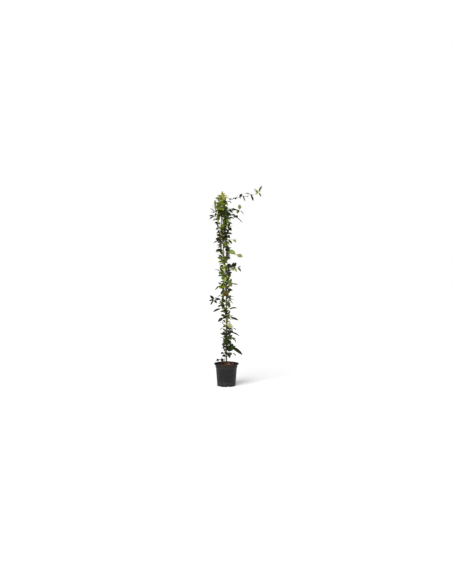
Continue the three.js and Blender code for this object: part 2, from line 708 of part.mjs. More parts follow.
function makeMix() {
  const gap = potWall + restingGap;
  const floorTop = floorLift + gap;
  const edge = potHeight - mixEdgeDepth;
  const outline = [
    [0, gap], [discRadius - floorSlope / 2 - restingGap, gap],
    [discRadius + floorSlope / 2, floorTop],
    [potWallRadius(floorTop) - gap, floorTop], [potNeckRadius - gap, potNeckHeight],
    [potCollarRadius - gap, potCollarHeight], [potWallRadius(edge) - gap, edge], ...mixDome,
  ];
  const geometry = turned(outline, potSegments);
  const position = geometry.attributes.position;
  for (let i = 0; i < position.count; i++) {
    const waveX = Math.sin((2 * Math.PI * position.getX(i)) / mixLumpSpacingX);
    const waveY = Math.cos((2 * Math.PI * position.getY(i)) / mixLumpSpacingY);
    const z = position.getZ(i);
    if (z > edge + mixLump) position.setZ(i, z + mixLump * waveX * waveY);
  }
  let mix = toSolid(geometry);
  const above = potHeight + stemStep;
  for (const stem of [mainStem, secondStem]) {
    const heights = ringHeights(stem, above);
    const points = heights.map((height) => stemCentre(stem, height));
    points[0].z -= restingGap;
    const radii = heights.map((height) => stemRadius(stem, height) + restingGap);
    mix = mix.subtract(toSolid(bar(points, radii, stemSides)));
  }
  const holeRadius = caneRadius + caneJointBulge + restingGap;
  const holeEnds = [caneCentre(caneFoot - restingGap), caneCentre(above)];
  const caneHole = bar(holeEnds, [holeRadius, holeRadius], caneSides);
  return toGeometry(mix.subtract(toSolid(caneHole)));
}

// Bamboo cane: a pole with a raised ring at each joint

function makeCane() {
  const rows = [];
  for (let height = caneFoot; height < caneTop; height += caneJointSpacing / 2) {
    rows.push([height, caneRadius]);
  }
  for (let height = caneFirstJoint; height < caneTop; height += caneJointSpacing) {
    rows.push([height - caneJointHalf, caneRadius], [height, caneRadius + caneJointBulge]);
    rows.push([height + caneJointHalf, caneRadius]);
  }
  rows.push([caneTop, caneRadius]);
  rows.sort((a, b) => a[0] - b[0]);
  const points = rows.map(([height]) => caneCentre(height));
  return bar(points, rows.map(([, radius]) => radius), caneSides);
}

// Tie: a band that holds both stems to the cane

function makeTie(height) {
  const a = stemMiddle(mainStem, height);
  const b = stemMiddle(secondStem, height);
  const radiusA = stemRadius(mainStem, height);
  const radiusB = stemRadius(secondStem, height);
  const between = a.distanceTo(b);
  const inner = (between + radiusA + radiusB) / 2 + restingGap;
  const outline = [
    [inner, 0], [inner + tieBand, 0], [inner + tieBand, tieHeight], [inner, tieHeight], [inner, 0],
  ];
  const middle = a.lerp(b, 0.5 + (radiusB - radiusA) / (2 * between));
  return turned(outline, tieSegments).translate(middle.x, middle.y, height - tieHeight / 2);
}

// A leaf with its stalk: a flat face above and a keel below. Its outline swells from the stalk to
// the widest part and narrows to a point, and the whole leaf arches up between its two ends.
function makeLeaf(base, tip, width, turn) {
  const along = tip.clone().sub(base);
  const length = along.length();
  along.normalize();
  const outward = base.clone().sub(caneCentre(base.z)).setZ(0).normalize();
  const face = new THREE.Vector3(0, -turn, 1 - Math.abs(turn)).addScaledVector(outward, leafOutward);
  const normal = face.addScaledVector(along, -face.dot(along)).normalize();
  const side = normal.clone().cross(along);
  const stalk = THREE.MathUtils.clamp(length * petioleShare, petioleShortest, petioleLongest);
  const blade = length - stalk;
  const stations = [
    [-petioleRoot, petioleHalfWidth, petioleHalfWidth],
    [stalk, petioleHalfWidth, leafThickness],
    ...leafStations.map(([share, half]) => [stalk + blade * share, width * half, leafThickness]),
  ];
  const rings = stations.map(([distance, half, keel]) => {
    const share = Math.max(distance / length, 0);
    const middle = base.clone().addScaledVector(along, distance);
    middle.addScaledVector(normal, 4 * leafArch * length * share * (1 - share));
    return [
      middle.clone().addScaledVector(side, -half),
      middle.clone().addScaledVector(normal, -keel),
      middle.clone().addScaledVector(side, half),
    ];
  });
  return loft([...rings, [tip]]);
}

// Leafy shoot: a twig that starts just off a stem, and the leaves that grow from it

function makeShoot({ seat, path, leaves }) {
  const points = [...seatPoints(seat), ...path.map((point) => new THREE.Vector3(...point))];
  const curve = new THREE.CatmullRomCurve3(points, false, "catmullrom");
  const spans = points.length - 1;
  const along = [0];
  for (let i = 0; i < spans; i++) {
    const steps = Math.ceil(points[i].distanceTo(points[i + 1]) / twigStep);
    for (let k = 1; k <= steps; k++) along.push((i + k / steps) / spans);
  }
  const radii = along.map((share) => THREE.MathUtils.lerp(twigRootRadius, twigTipRadius, share));
  let shoot = toSolid(bar(along.map((share) => curve.getPoint(share)), radii, twigSides));
  for (const [from, x, y, z, width, turn] of leaves) {
    const base = curve.getPoint((from + 1) / spans);
    shoot = shoot.add(toSolid(makeLeaf(base, new THREE.Vector3(x, y, z), width, turn)));
  }
  return toGeometry(shoot);
}

function leafFinish(height) {
  if (height > youngLeafFrom) return materials.youngLeaf;
  return height < oldLeafBelow ? materials.oldLeaf : materials.leaf;
}

// Assembly

addPiece("pot", makePot(), materials.pot);
addPiece("potting_mix", makeMix(), materials.mix);
addPiece("bamboo_cane", makeCane(), materials.cane);
addPiece("main_stem", makeStem(mainStem), materials.wood);
addPiece("second_stem", makeStem(secondStem), materials.wood);
tieHeights.forEach((height, i) => addPiece(`tie_${i + 1}`, makeTie(height), materials.tie));
shoots.forEach((shoot, i) => {
  const number = String(i + 1).padStart(2, "0");
  addPiece(`leafy_shoot_${number}`, makeShoot(shoot), leafFinish(shoot.seat[0]));
});
addPiece("runner", makeShoot(runner), materials.youngLeaf);

export default part;
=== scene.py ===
from typing import NamedTuple

import bpy
import numpy as np
from bpy.props import FloatProperty, FloatVectorProperty, IntProperty, PointerProperty
from bpy.types import Operator, Panel, PropertyGroup
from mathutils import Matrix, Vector


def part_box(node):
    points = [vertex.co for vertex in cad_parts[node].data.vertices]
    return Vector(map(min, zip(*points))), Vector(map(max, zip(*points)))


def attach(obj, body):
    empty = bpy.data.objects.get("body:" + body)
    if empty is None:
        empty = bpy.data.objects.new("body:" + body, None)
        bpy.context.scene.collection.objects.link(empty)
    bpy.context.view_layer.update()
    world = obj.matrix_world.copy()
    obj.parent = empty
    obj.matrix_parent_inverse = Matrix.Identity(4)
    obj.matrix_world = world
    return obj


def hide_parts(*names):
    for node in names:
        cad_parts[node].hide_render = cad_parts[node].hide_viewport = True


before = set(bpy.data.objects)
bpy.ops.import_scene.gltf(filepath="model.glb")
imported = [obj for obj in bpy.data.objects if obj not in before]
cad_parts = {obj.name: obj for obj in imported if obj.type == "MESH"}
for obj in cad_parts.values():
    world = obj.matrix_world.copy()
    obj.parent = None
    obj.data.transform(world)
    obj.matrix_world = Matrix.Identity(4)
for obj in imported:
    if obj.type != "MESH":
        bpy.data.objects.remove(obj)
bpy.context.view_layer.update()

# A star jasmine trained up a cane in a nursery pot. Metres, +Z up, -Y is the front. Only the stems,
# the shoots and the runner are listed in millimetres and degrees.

bl_info = {
    "name": "Potted Star Jasmine",
    "version": (1, 0, 0),
    "blender": (4, 5, 0),
    "location": "3D View > Sidebar > Jasmine",
    "description": "A star jasmine trained up a cane in a nursery pot",
    "category": "Add Mesh",
}

MM = 0.001
POT_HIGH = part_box("pot")[1]
CANE_LOW, CANE_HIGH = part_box("bamboo_cane")
TIES = ("tie_1", "tie_2", "tie_3", "tie_4")


class Stem(NamedTuple):
    """A woody stem. Each key is a height, the distance from the cane's middle, and the bearing round
    it: 0 to the right, 90 behind, 180 to the left and 270 in front."""

    node: str
    root_radius: float
    tip_radius: float
    keys: list


class Shoot(NamedTuple):
    """A side shoot: the height and bearing where it leaves a stem, its leaves' tone, the points that
    its twig passes through, and its leaves. A leaf is the place that it grows from, counted in the
    twig's points, its tip, its width, how far its upper face turns from the sky (0) to the front (1)
    or the back (-1), and its own tone if it has one."""

    seat: tuple
    tone: str
    path: list
    leaves: list


MAIN_STEM = Stem("main_stem", 3.2, 1.8, [
    (110, 8, 284), (188, 8, 294), (245, 8, 290), (300, 8, 298), (350, 8, 296), (413, 8, 288),
    (451, 9, 268), (485, 11, 262), (520, 11, 250), (568, 16, 218), (618, 22, 188), (660, 22, 170),
    (705, 16, 145), (753, 8, 112), (800, 9, 60), (850, 10, 15), (885, 9, -30), (918, 8, -75),
    (960, 10, -115), (1000, 13, -150), (1050, 14, -180), (1090, 12, -220), (1150, 8, -262),
    (1190, 10, -305), (1225, 12, -350), (1262, 14, -400), (1300, 12, -445), (1340, 12, -500),
    (1375, 10, -550), (1410, 8, -590),
])
SECOND_STEM = Stem("second_stem", 2.4, 1.5, [
    (110, 14, 184), (188, 13, 186), (215, 10, 180), (250, 9, 160), (300, 8, 130), (350, 8, 116),
    (413, 9, 78), (451, 10, 50), (485, 11, 30), (510, 14, 10), (528, 16, -15), (546, 14, -60),
    (566, 13, -100), (600, 12, -95), (650, 9, -75), (690, 9, -65), (720, 9, -50), (753, 8, -50),
    (800, 9, -100), (850, 10, -150), (885, 9, -200), (918, 8, -250), (960, 12, -310),
    (1000, 20, -350), (1030, 23, -373), (1060, 20, -395), (1100, 12, -425), (1150, 8, -442),
    (1190, 14, -430), (1220, 26, -390), (1250, 35, -365), (1280, 34, -350), (1310, 26, -330),
    (1350, 20, -310), (1390, 18, -290), (1420, 16, -280),
])
STEMS = (MAIN_STEM, SECOND_STEM)

# The side shoots, from the bottom up
# Leaves of the darkest tone have shade painted in, and those of the light tone that faces the front have
# light painted in.
SHOOTS = [
    Shoot((250, 195), "black", [(-19, -16, 240), (-37, -22, 211), (-54, -26, 203)], [
        (0.4, -42, -24, 244, 22, 0.5, "black"), (3, -74, -32, 192, 24, 0.5, "black"),
        (3, -58, -64, 198, 24, 0.3, "black"), (2, -24, -52, 186, 24, 0.4), (3, -92, -8, 178, 24, 0),
    ]),
    Shoot((252, 310), "old", [(22, -32, 257), (41, -36, 254)], [
        (1, 47, -20, 323, 40, 0.9), (1, 14, -38, 314, 26, 0.8, "black"), (2, 20, -56, 236, 22, 0.5, "old"),
        (2, 73, -46, 229, 12, 0.2, "grey"), (0, 17, -24, 225, 12, 0.5, "black"),
    ]),
    Shoot((297, 350), "old", [(28, -12, 301), (50, -16, 286)], [
        (1.4, 122, -34, 238, 30, 0.6, "black"), (0.6, 44, -6, 327, 18, 0), (2, 64, 34, 300, 24, 0),
    ]),
    Shoot((290, 265), "old", [(-3, -22, 302), (0, -25, 336), (4, -26, 362), (8, -28, 384)], [
        (1, -27, -34, 293, 22, 0.5, "black"), (2, -33, -36, 309, 24, 0.7), (2.4, 34, -58, 324, 32, 0.5),
        (3, 4, -64, 332, 30, 0.6), (3.6, -6, -56, 356, 28, 0.5), (4, 2, -54, 350, 30, 0.7),
        (4, 38, -46, 354, 32, 0.6), (4, 36, -30, 404, 16, 0.5, "black"), (4, -12, -44, 376, 28, 0.8),
    ]),
    Shoot((372, 10), "grey", [(20, -2, 380), (44, -4, 366)], [
        (2, 74, -12, 326, 10, 0.4, "old"), (1.8, 58, -44, 350, 22, 0.3), (1, 36, -18, 402, 18, 0.5),
        (2, 72, 28, 352, 18, 0),
    ]),
    Shoot((400, 345), "grey", [(22, -14, 408), (23, -12, 434)], [
        (1, 100, -24, 379, 15, 0.4, "black"), (2, 24, -4, 478, 24, 0.8, "khaki"), (1, 52, 26, 404, 20, 0),
    ]),
    Shoot((404, 200), "black", [(-12, -14, 411)], [
        (0.6, -21, -44, 391, 30, 0.7, "black"), (1, -26, 14, 410, 18, 0),
    ]),
    Shoot((440, 5), "grey", [(22, 2, 446), (42, 2, 442)], [
        (2, 78, -4, 420, 12, 0.2, "old"), (2, 34, 44, 450, 20, 0),
    ]),
    Shoot((446, 175), "grey", [(-14, 4, 449), (-21, 4, 443)], [
        (2, -47, -6, 421, 12, 0.2), (1, -26, 42, 450, 18, 0),
    ]),
    Shoot((518, 355), "mid", [(27, -4, 528)], [
        (0.2, 91, -20, 498, 20, 0.5, "old"), (0.4, 6, -44, 520, 26, 0.6, "grey"), (1, 36, 46, 518, 22, 0),
    ]),
    Shoot((512, 215), "black", [(-18, -20, 517), (-17, -20, 494), (-16, -20, 480)], [
        (1, -63, -24, 487, 22, 0.6), (0.3, -16, -44, 538, 24, 0.6, "black"),
        (3, -51, -24, 481, 12, 0.1, "grey"), (3, -30, 14, 470, 18, 0),
    ]),
    Shoot((583, 280), "old", [(4, -24, 587), (24, -22, 588)], [
        (1, -32, -40, 586, 22, 0.4, "olive"), (2, 79, -28, 592, 15, 0.4, "black"),
        (2, 44, 14, 584, 18, 0, "grey"), (2, 14, -8, 642, 22, 0.6, "olive"), (1, 0, -62, 580, 18, 0.2),
        (2, 45, -34, 585, 18, 0.5, "olive"), (1, -22, -44, 560, 24, 0.5, "black"),
    ]),
    Shoot((606, 190), "black", [(-38, -8, 612)], [
        (1, -66, 0, 596, 18, 0.3), (1, -54, -44, 600, 20, 0.2),
    ]),
    Shoot((578, 195), "black", [(-38, -14, 587)], [
        (1, -102, -24, 560, 20, 0.5), (1, -56, 28, 580, 20, 0),
    ]),
    Shoot((645, 300), "grey", [(18, -22, 650)], [
        (1, 59, -30, 655, 16, 0.1), (1, 10, -40, 603, 24, 0.4, "dull"), (1, 51, 0, 617, 16, 0.2),
        (0.5, -42, -32, 634, 16, 0.3, "old"),
    ]),
    Shoot((672, 0), "grey", [(24, -4, 676)], [
        (1, 63, -10, 672, 16, 0.1), (1, 30, 40, 672, 18, 0),
    ]),
    Shoot((682, 255), "bronze", [(-1, -24, 688), (-3, -28, 694)], [
        (2, 4, -17, 723, 24, 0.8), (2, -30, -32, 704, 22, 0.6), (1, 19, -34, 697, 22, 0.6),
        (1, -14, -50, 680, 22, 0.4), (1, -36, -16, 688, 20, 0.4, "olive"),
    ]),
    Shoot((722, 330), "black", [(14, -14, 728)], [
        (1, 30, -42, 727, 20, 0.5), (1, 52, 8, 722, 18, 0),
    ]),
    Shoot((700, 170), "black", [(-40, 4, 692), (-58, -4, 681), (-79, -8, 662), (-91, -10, 653)], [
        (4, -125, -14, 686, 20, 0.5), (4, -132, -20, 643, 20, 0.5), (4, -72, -28, 628, 18, 0.6),
        (3.7, -42, -32, 656, 20, 0.6), (4, -118, -44, 613, 16, 0.3), (3, -94, 30, 666, 20, 0),
        (2, -36, 34, 692, 20, 0),
    ]),
    Shoot((761, 180), "olive", [(-28, 4, 760), (-46, -4, 762)], [
        (2, -85, -14, 725, 15, 0.5, "grey"), (1, -31, -36, 731, 24, 0.3, "mid"),
        (1, -34, -30, 778, 20, 0.5, "mid"), (2, -46, -40, 738, 20, 0.2), (2, -62, 30, 784, 18, 0),
    ]),
    Shoot((800, 290), "teal", [(6, -20, 806)], [
        (1, 40, -44, 752, 30, 0.6, "grey"), (1, 28, -12, 846, 20, 0.5, "olive"),
        (1, -16, -46, 778, 16, 0.3),
    ]),
    Shoot((775, 345), "grey", [(24, -12, 776), (43, -12, 772)], [
        (2, 87, -18, 768, 14, 0.4, "black"), (2, 54, 34, 778, 20, 0), (1, 40, 0, 812, 18, 0.4),
    ]),
    Shoot((830, 240), "mid", [(-16, -20, 832)], [
        (1, -12, -48, 787, 32, 0.7, "facing"), (1, -25, -6, 872, 16, 0.7), (1, 8, -38, 848, 16, 0.2),
        (1, -66, -30, 832, 18, 0.3, "old"), (1, -36, -46, 806, 20, 0.4),
    ]),
    Shoot((862, 185), "mid", [(-37, -6, 864)], [
        (1, -37, 6, 918, 20, 0.6, "black"), (1, -92, -14, 882, 18, 0.3, "old"), (1, -56, 34, 858, 20, 0),
        (1, -52, -36, 842, 20, 0.4),
    ]),
    Shoot((872, 250), "pale", [(-22, -20, 880), (-21, -22, 895)], [
        (2, -19, -20, 926, 14, 0.5), (2, -20, -50, 870, 22, 0.6), (2, -44, -44, 892, 18, 0.1),
    ]),
    Shoot((848, 355), "black", [(14, -4, 852), (21, -8, 858)], [
        (2, 28, -36, 826, 18, 0.3), (2, 14, 2, 892, 16, 0.5), (1, 22, 42, 856, 20, 0),
        (1, 38, -22, 876, 18, 0.3),
    ]),
    Shoot((888, 340), "black", [(12, -16, 894), (34, -20, 898), (58, -22, 896), (84, -24, 896)], [
        (1, 30, -14, 926, 24, 0.6), (1, 14, -46, 904, 24, 0.5, "black"), (2, 58, -30, 937, 16, 0.5),
        (2, 54, 14, 914, 18, 0, "olive"), (3, 73, -12, 936, 20, 0.6), (2, 52, -50, 872, 24, 0.5, "khaki"),
        (3, 78, -36, 864, 20, 0.5, "khaki"), (4, 109, -28, 904, 14, 0.4, "black"), (4, 106, 8, 884, 14, 0),
        (4, 107, -46, 866, 18, 0.4), (3, 66, 18, 890, 18, 0), (2, 58, -46, 907, 18, 0.5, "black"),
    ]),
    Shoot((932, 265), "olive", [(-16, -22, 938), (-14, -22, 950)], [
        (2, -12, -6, 984, 16, 0.6), (1, -34, -46, 932, 16, 0.2), (2, 8, -46, 942, 16, 0.2),
    ]),
    Shoot((975, 190), "grey", [(-36, -12, 981)], [
        (1, -67, -20, 994, 12, 0.2, "olive"), (1, -52, 28, 980, 20, 0),
    ]),
    Shoot((960, 20), "black", [(8, 4, 964)], [
        (1, 27, -14, 984, 18, 0.5, "black"), (1, 30, 44, 966, 22, 0),
    ]),
    Shoot((1018, 345), "facing", [(16, -14, 1030), (44, -20, 1004), (74, -22, 990)], [
        (1, 68, -38, 998, 36, 0.85), (3, 122, -26, 979, 28, 0.7, "khaki"), (3, 94, 20, 994, 18, 0),
    ]),
    Shoot((1036, 185), "teal", [(-44, -4, 1034)], [
        (1, -80, -14, 1014, 24, 0.6, "old"), (1, -68, 32, 1030, 20, 0),
    ]),
    Shoot((1048, 300), "olive", [(-4, -26, 1056), (1, -26, 1068)], [
        (2, 20, -24, 1092, 18, 0.5), (1, -22, -46, 1040, 18, 0.3, "old"), (2, -12, -16, 1096, 18, 0.4),
        (1, 22, -42, 1038, 18, 0.2, "black"), (2, 34, 0, 1072, 20, 0.1), (1, -34, -24, 1080, 18, 0.5),
        (2, 4, -60, 1058, 16, 0.1),
    ]),
    Shoot((1096, 180), "teal", [(-54, 0, 1100)], [
        (1, -82, -14, 1117, 28, 0.6, "black"), (1, -98, -10, 1082, 18, 0.25, "black"),
        (1, -66, 38, 1100, 20, 0),
    ]),
    Shoot((1100, 325), "khaki", [(0, -20, 1107), (22, -22, 1110), (50, -20, 1108)], [
        (1.7, 42, -40, 1074, 20, 0.5, "old"), (3, 72, -34, 1086, 24, 0.6, "khaki"), (3, 84, 6, 1112, 16, 0),
    ]),
    Shoot((1110, 150), "olive", [
        (-50, 8, 1122), (-53, 4, 1160), (-56, 2, 1200), (-58, 0, 1234), (-64, -2, 1262),
    ], [
        (1, -66, -26, 1124, 18, 0.2, "old"), (2, -73, -22, 1155, 18, 0.5, "black"),
        (2, -40, -30, 1148, 20, 0.4), (5, -92, 26, 1272, 20, 0), (2, -62, 40, 1164, 20, 0),
        (3, -76, -20, 1184, 18, 0.5, "black"), (3, -44, -36, 1188, 22, 0.5),
        (4, -88, -22, 1231, 24, 0.6, "black"), (4, -48, -36, 1218, 22, 0.5), (4, -66, 38, 1234, 20, 0),
        (5, -103, -22, 1247, 22, 0.3), (5, -50, 6, 1298, 18, 0.5),
    ]),
    Shoot((1130, 300), "old", [(-12, -24, 1136), (2, -28, 1142), (12, -28, 1152)], [
        (1, -2, -50, 1108, 20, 0.3), (2, 26, -46, 1116, 26, 0.6), (1, -34, -40, 1164, 20, 0.5),
        (3, 34, 20, 1160, 20, -0.2), (3, 43, -32, 1148, 18, 0.4, "black"), (3, 10, -14, 1186, 18, 0.5),
        (2, -26, -54, 1132, 16, 0.1),
    ]),
    Shoot((1182, 300), "old", [(-6, -28, 1192), (14, -28, 1198)], [
        (2, 36, -52, 1170, 28, 0.6, "black"), (2, 50, -22, 1212, 18, 0.1),
        (2, 34, 22, 1196, 20, -0.2, "mid"), (1, -8, -58, 1176, 18, 0.3), (2, 22, -6, 1236, 18, 0.5),
    ]),
    Shoot((1212, 290), "mid", [(-8, -26, 1220), (8, -30, 1230)], [
        (2, 44, -38, 1224, 18, 0.4, "black"), (1, -30, -34, 1256, 20, 0.5), (2, 34, 8, 1240, 18, 0),
        (1, -32, -48, 1200, 22, 0.5), (1, 10, -58, 1204, 20, 0.4), (2, 2, -20, 1266, 16, 0.5),
    ]),
    Shoot((1266, 335), "grey", [(14, -12, 1273)], [
        (1, 56, -24, 1264, 22, 0.4, "black"), (1, 22, -54, 1252, 20, 0.4), (1, 34, 32, 1270, 22, 0),
    ]),
    Shoot((1284, 0), "grey", [(30, -2, 1292), (62, -4, 1289)], [
        (2, 120, -16, 1234, 10, 0.35, "old"), (2, 84, -24, 1270, 26, 0.6, "black"),
        (2, 74, 34, 1296, 18, 0),
    ]),
    Shoot((1318, 10), "mid", [(20, 8, 1327), (48, 0, 1331), (74, -4, 1332), (98, -6, 1332)], [
        (2, 42, -46, 1322, 20, 0.4, "old"), (3, 88, -44, 1328, 16, 0.2), (3, 72, 32, 1338, 18, 0),
        (4, 100, 2, 1374, 25, 0.8, "facing"), (4, 131, -20, 1293, 14, 0.2, "grey"),
        (3.4, 49, -26, 1328, 18, 0.5, "black"), (4, 78, -30, 1302, 20, 0.5, "olive"),
        (2, 42, 40, 1334, 18, 0),
    ]),
    Shoot((1300, 300), "old", [(-24, -26, 1309), (-8, -28, 1311)], [
        (2, 36, -44, 1283, 26, 0.5), (1, -22, -64, 1276, 22, 0.4), (2, 18, -64, 1300, 20, 0.3),
        (1, -34, -64, 1300, 20, 0.3), (2, 2, -14, 1344, 18, 0.4),
    ]),
    Shoot((1332, 320), "mid", [(-4, 0, 1338), (11, -4, 1336)], [
        (2, 46, -18, 1304, 22, 0.5, "black"), (2, 26, 36, 1340, 20, 0), (1, 6, 38, 1362, 20, -0.3),
        (1, -18, 46, 1322, 20, -0.3),
    ]),
    Shoot((1318, 190), "mid", [(-64, -14, 1319), (-86, -16, 1317)], [
        (2, -123, -22, 1342, 10, 0.4, "black"), (2, -96, -56, 1302, 20, 0.3), (1, -76, 24, 1326, 20, 0),
        (1, -58, -58, 1312, 22, 0.4), (1, -46, -48, 1286, 24, 0.6, "bronze"),
        (2, -120, 12, 1312, 18, 0, "grey"),
    ]),
    Shoot((1278, 200), "mid", [(-60, -20, 1282), (-86, -22, 1282)], [
        (2, -129, -32, 1284, 18, 0.4, "black"), (2, -127, -38, 1260, 16, 0.35, "black"),
        (2, -92, -64, 1276, 18, 0.3), (1, -66, -56, 1262, 20, 0.4), (1, -58, -48, 1244, 24, 0.6, "olive"),
        (2, -72, -40, 1300, 22, 0.5, "bronze"), (1, -90, 18, 1288, 18, 0),
    ]),
    Shoot((1350, 185), "olive", [(-68, -6, 1354), (-80, -8, 1358)], [
        (2, -112, -16, 1360, 12, 0.3, "old"), (2, -87, 0, 1407, 18, 0.4),
        (1, -84, -46, 1340, 24, 0.5), (2, -88, 34, 1352, 18, 0), (1, -60, -38, 1392, 20, 0.4),
        (1, -64, 38, 1366, 18, -0.2),
    ]),
    Shoot((1345, 260), "mid", [(-46, -24, 1352), (-42, -28, 1364)], [
        (1, -70, -54, 1322, 26, 0.6, "mid"), (1, -24, -54, 1326, 26, 0.6, "olive"),
        (2, -70, -42, 1384, 22, 0.5), (2, -10, -40, 1376, 22, 0.5), (2, -28, -14, 1404, 20, 0.6, "young"),
        (2, -42, -66, 1350, 20, 0.3),
    ]),
    Shoot((1398, 250), "young", [(-42, -14, 1412), (-36, -16, 1428), (-32, -14, 1440)], [
        (3, -31, -6, 1475, 10, 0.4, "olive"), (3, -10, -18, 1456, 16, 0.4),
        (3, 14, -22, 1434, 16, 0.4, "yellow"), (2, 16, -30, 1418, 16, 0.3, "young"),
        (2, -70, -20, 1438, 16, 0.3, "olive"), (1, -76, -22, 1414, 16, 0.3, "mid"),
        (1, -46, -46, 1392, 22, 0.6), (2, -14, -44, 1404, 22, 0.6), (2, -52, -46, 1418, 20, 0.5),
        (1, -56, 30, 1424, 18, -0.2), (2, -36, 26, 1450, 16, -0.2), (3, -44, 16, 1462, 14, 0),
    ]),
    Shoot((1385, 330), "olive", [(-18, 4, 1395), (-6, 0, 1399)], [
        (2, 42, -14, 1381, 14, 0.3, "old"), (1, 10, -28, 1360, 18, 0.4), (2, 6, 34, 1402, 18, 0),
        (1, -24, 50, 1384, 20, -0.3),
    ]),
]

# The long young runner that feels its way out to the right from the top
RUNNER = Shoot((1412, 5), "dull", [
    (-12, 10, 1420), (8, 4, 1424), (30, -2, 1418), (53, -6, 1416), (75, -8, 1426), (96, -8, 1427),
    (123, -10, 1437), (150, -10, 1434), (181, -10, 1448), (206, -10, 1446), (230, -8, 1458),
    (243, -6, 1466),
], [
    (3, 26, -30, 1400, 14, 0.3, "grey"), (3, 44, 26, 1412, 14, 0), (4, 60, -30, 1421, 14, 0.4, "black"),
    (5, 78, 18, 1432, 12, 0), (6, 120, -18, 1450, 20, 0.8, "black"), (6, 106, -36, 1412, 12, 0.3),
    (7, 141, -16, 1395, 12, 0.4, "grey"), (7, 136, 22, 1430, 14, 0), (9, 138, -20, 1454, 13, 0.5, "grey"),
    (8, 160, -38, 1424, 12, 0.3), (9, 202, -16, 1398, 15, 0.5, "black"), (9, 196, 24, 1440, 14, 0),
    (12, 221, -16, 1446, 14, 0.5, "young"), (5, 66, -26, 1408, 12, 0.5, "black"),
    (12, 261, -10, 1430, 16, 0.5, "olive"), (12, 206, -14, 1486, 17, 0.6, "khaki"),
    (12, 268, -8, 1514, 16, 0.4, "dull"), (12, 216, -8, 1468, 13, 0.5, "olive"),
    (12, 262, 22, 1478, 14, 0, "young"),
])

# The cane bows to the left by this much, from the first height to the second
CANE_LEAN, CANE_LEAN_FROM, CANE_LEAN_TO = -0.040, 0.600, 1.400
CANE_FIRST_JOINT, CANE_JOINT_SPACING = 0.090, 0.168

# The dome of the potting mix, from its middle outwards
DOME_RADII = (0, 0.020, 0.040, 0.062, 0.080)
DOME_HEIGHTS = (0.179, 0.177, 0.169, 0.158, 0.150)

# The chips that have a place of their own: a broad pale one in front of the stems and lumps of bark to
# their right. Each has its distance from the middle, its bearing in degrees, and its sizes.
LUMP_SIZES = (0.028, 0.020, 0.010)
PLACED_CHIPS = (
    (0.046, 287, (0.026, 0.013, 0.005)), (0.022, 20, LUMP_SIZES), (0.034, 48, LUMP_SIZES),
    (0.050, 6, LUMP_SIZES), (0.044, 28, LUMP_SIZES), (0.060, 36, LUMP_SIZES),
)

# Height, and how many pairs of inner leaves grow from each stem in a metre there
INNER_PAIRS = np.array([
    (0.20, 14), (0.26, 40), (0.42, 42), (0.46, 40), (0.52, 68), (0.68, 74), (0.80, 60), (0.94, 68),
    (1.00, 84), (1.04, 112), (1.30, 120), (1.42, 90),
])
# The heights from and to which inner leaves have these tones. A tone named twice is twice as common.
# The darkest tone has shade painted in.
INNER_TONES = (
    (0.20, 0.45, ("old", "black", "teal")),
    (0.45, 0.84, ("olive", "khaki", "bronze", "grey", "old")),
    (0.84, 1.02, ("khaki", "olive", "bronze", "khaki", "old", "grey")),
    (1.02, 1.24, ("old", "olive", "khaki", "bronze", "grey", "black")),
    (1.24, 1.34, ("olive", "mid", "mid", "khaki", "old")),
    (1.34, 1.43, ("young", "khaki", "olive", "young")),
)
# The length of an inner leaf, before its own share more or less
INNER_LEAF = 0.042
# Small paired leaves along a twig: the distance of the first pair from its root and that to the next,
# the length of a leaf, and the height from which they grow
PAIR_START, PAIR_STEP, PAIR_LEAF, PAIRS_FROM = 0.014, 0.016, 0.031, 0.60
# How far from the cane they still grow, at the heights given first
PAIR_REACH = ((0.84, 0.88, 0.96, 1.10, 1.22, 1.28), (0.046, 0.075, 0.046, 0.046, 0.064, 0.105))
# The least that a paired leaf's direction heads away from the cane, as a share of its length
LEAST_OUTWARDS = 0.15

# Where the rings of a leaf lie: as shares of its stalk below 0, and of its blade above
BLADE = np.array([-1, -0.45, 0.0, 0.07, 0.18, 0.32, 0.48, 0.64, 0.80, 0.92, 1.0])
# The stalk's share of a leaf's length, its least length and its greatest
STALK_SHARE, STALK_SHORTEST, STALK_LONGEST = 0.13, 0.003, 0.011
STALK_RADIUS = 0.0006


def shade_of(red, green, blue):
    """The linear colour of a screen colour whose parts run from 0 to 255."""
    part = np.array([red, green, blue]) / 255
    return tuple(np.where(part > 0.04045, ((part + 0.055) / 1.055) ** 2.4, part / 12.92))


def a_colour(name, description, red, green, blue):
    """A colour that a user may change, with its default as a screen colour."""
    shade = shade_of(red, green, blue)
    looks = {"subtype": "COLOR", "default": shade, "min": 0, "max": 1}
    return FloatVectorProperty(name=name, description=description, **looks)


def a_number(name, description, default, **kind):
    """A number that a user may change, of one of the kinds that Blender knows."""
    return FloatProperty(name=name, description=description, default=default, **kind)


def a_length(name, description, default, least=0):
    """A length that a user may change, in metres."""
    return a_number(name, description, default, min=least, unit="LENGTH", precision=4)


def a_count(name, description, default, least, most):
    """A whole number that a user may change."""
    return IntProperty(name=name, description=description, default=default, min=least, max=most)


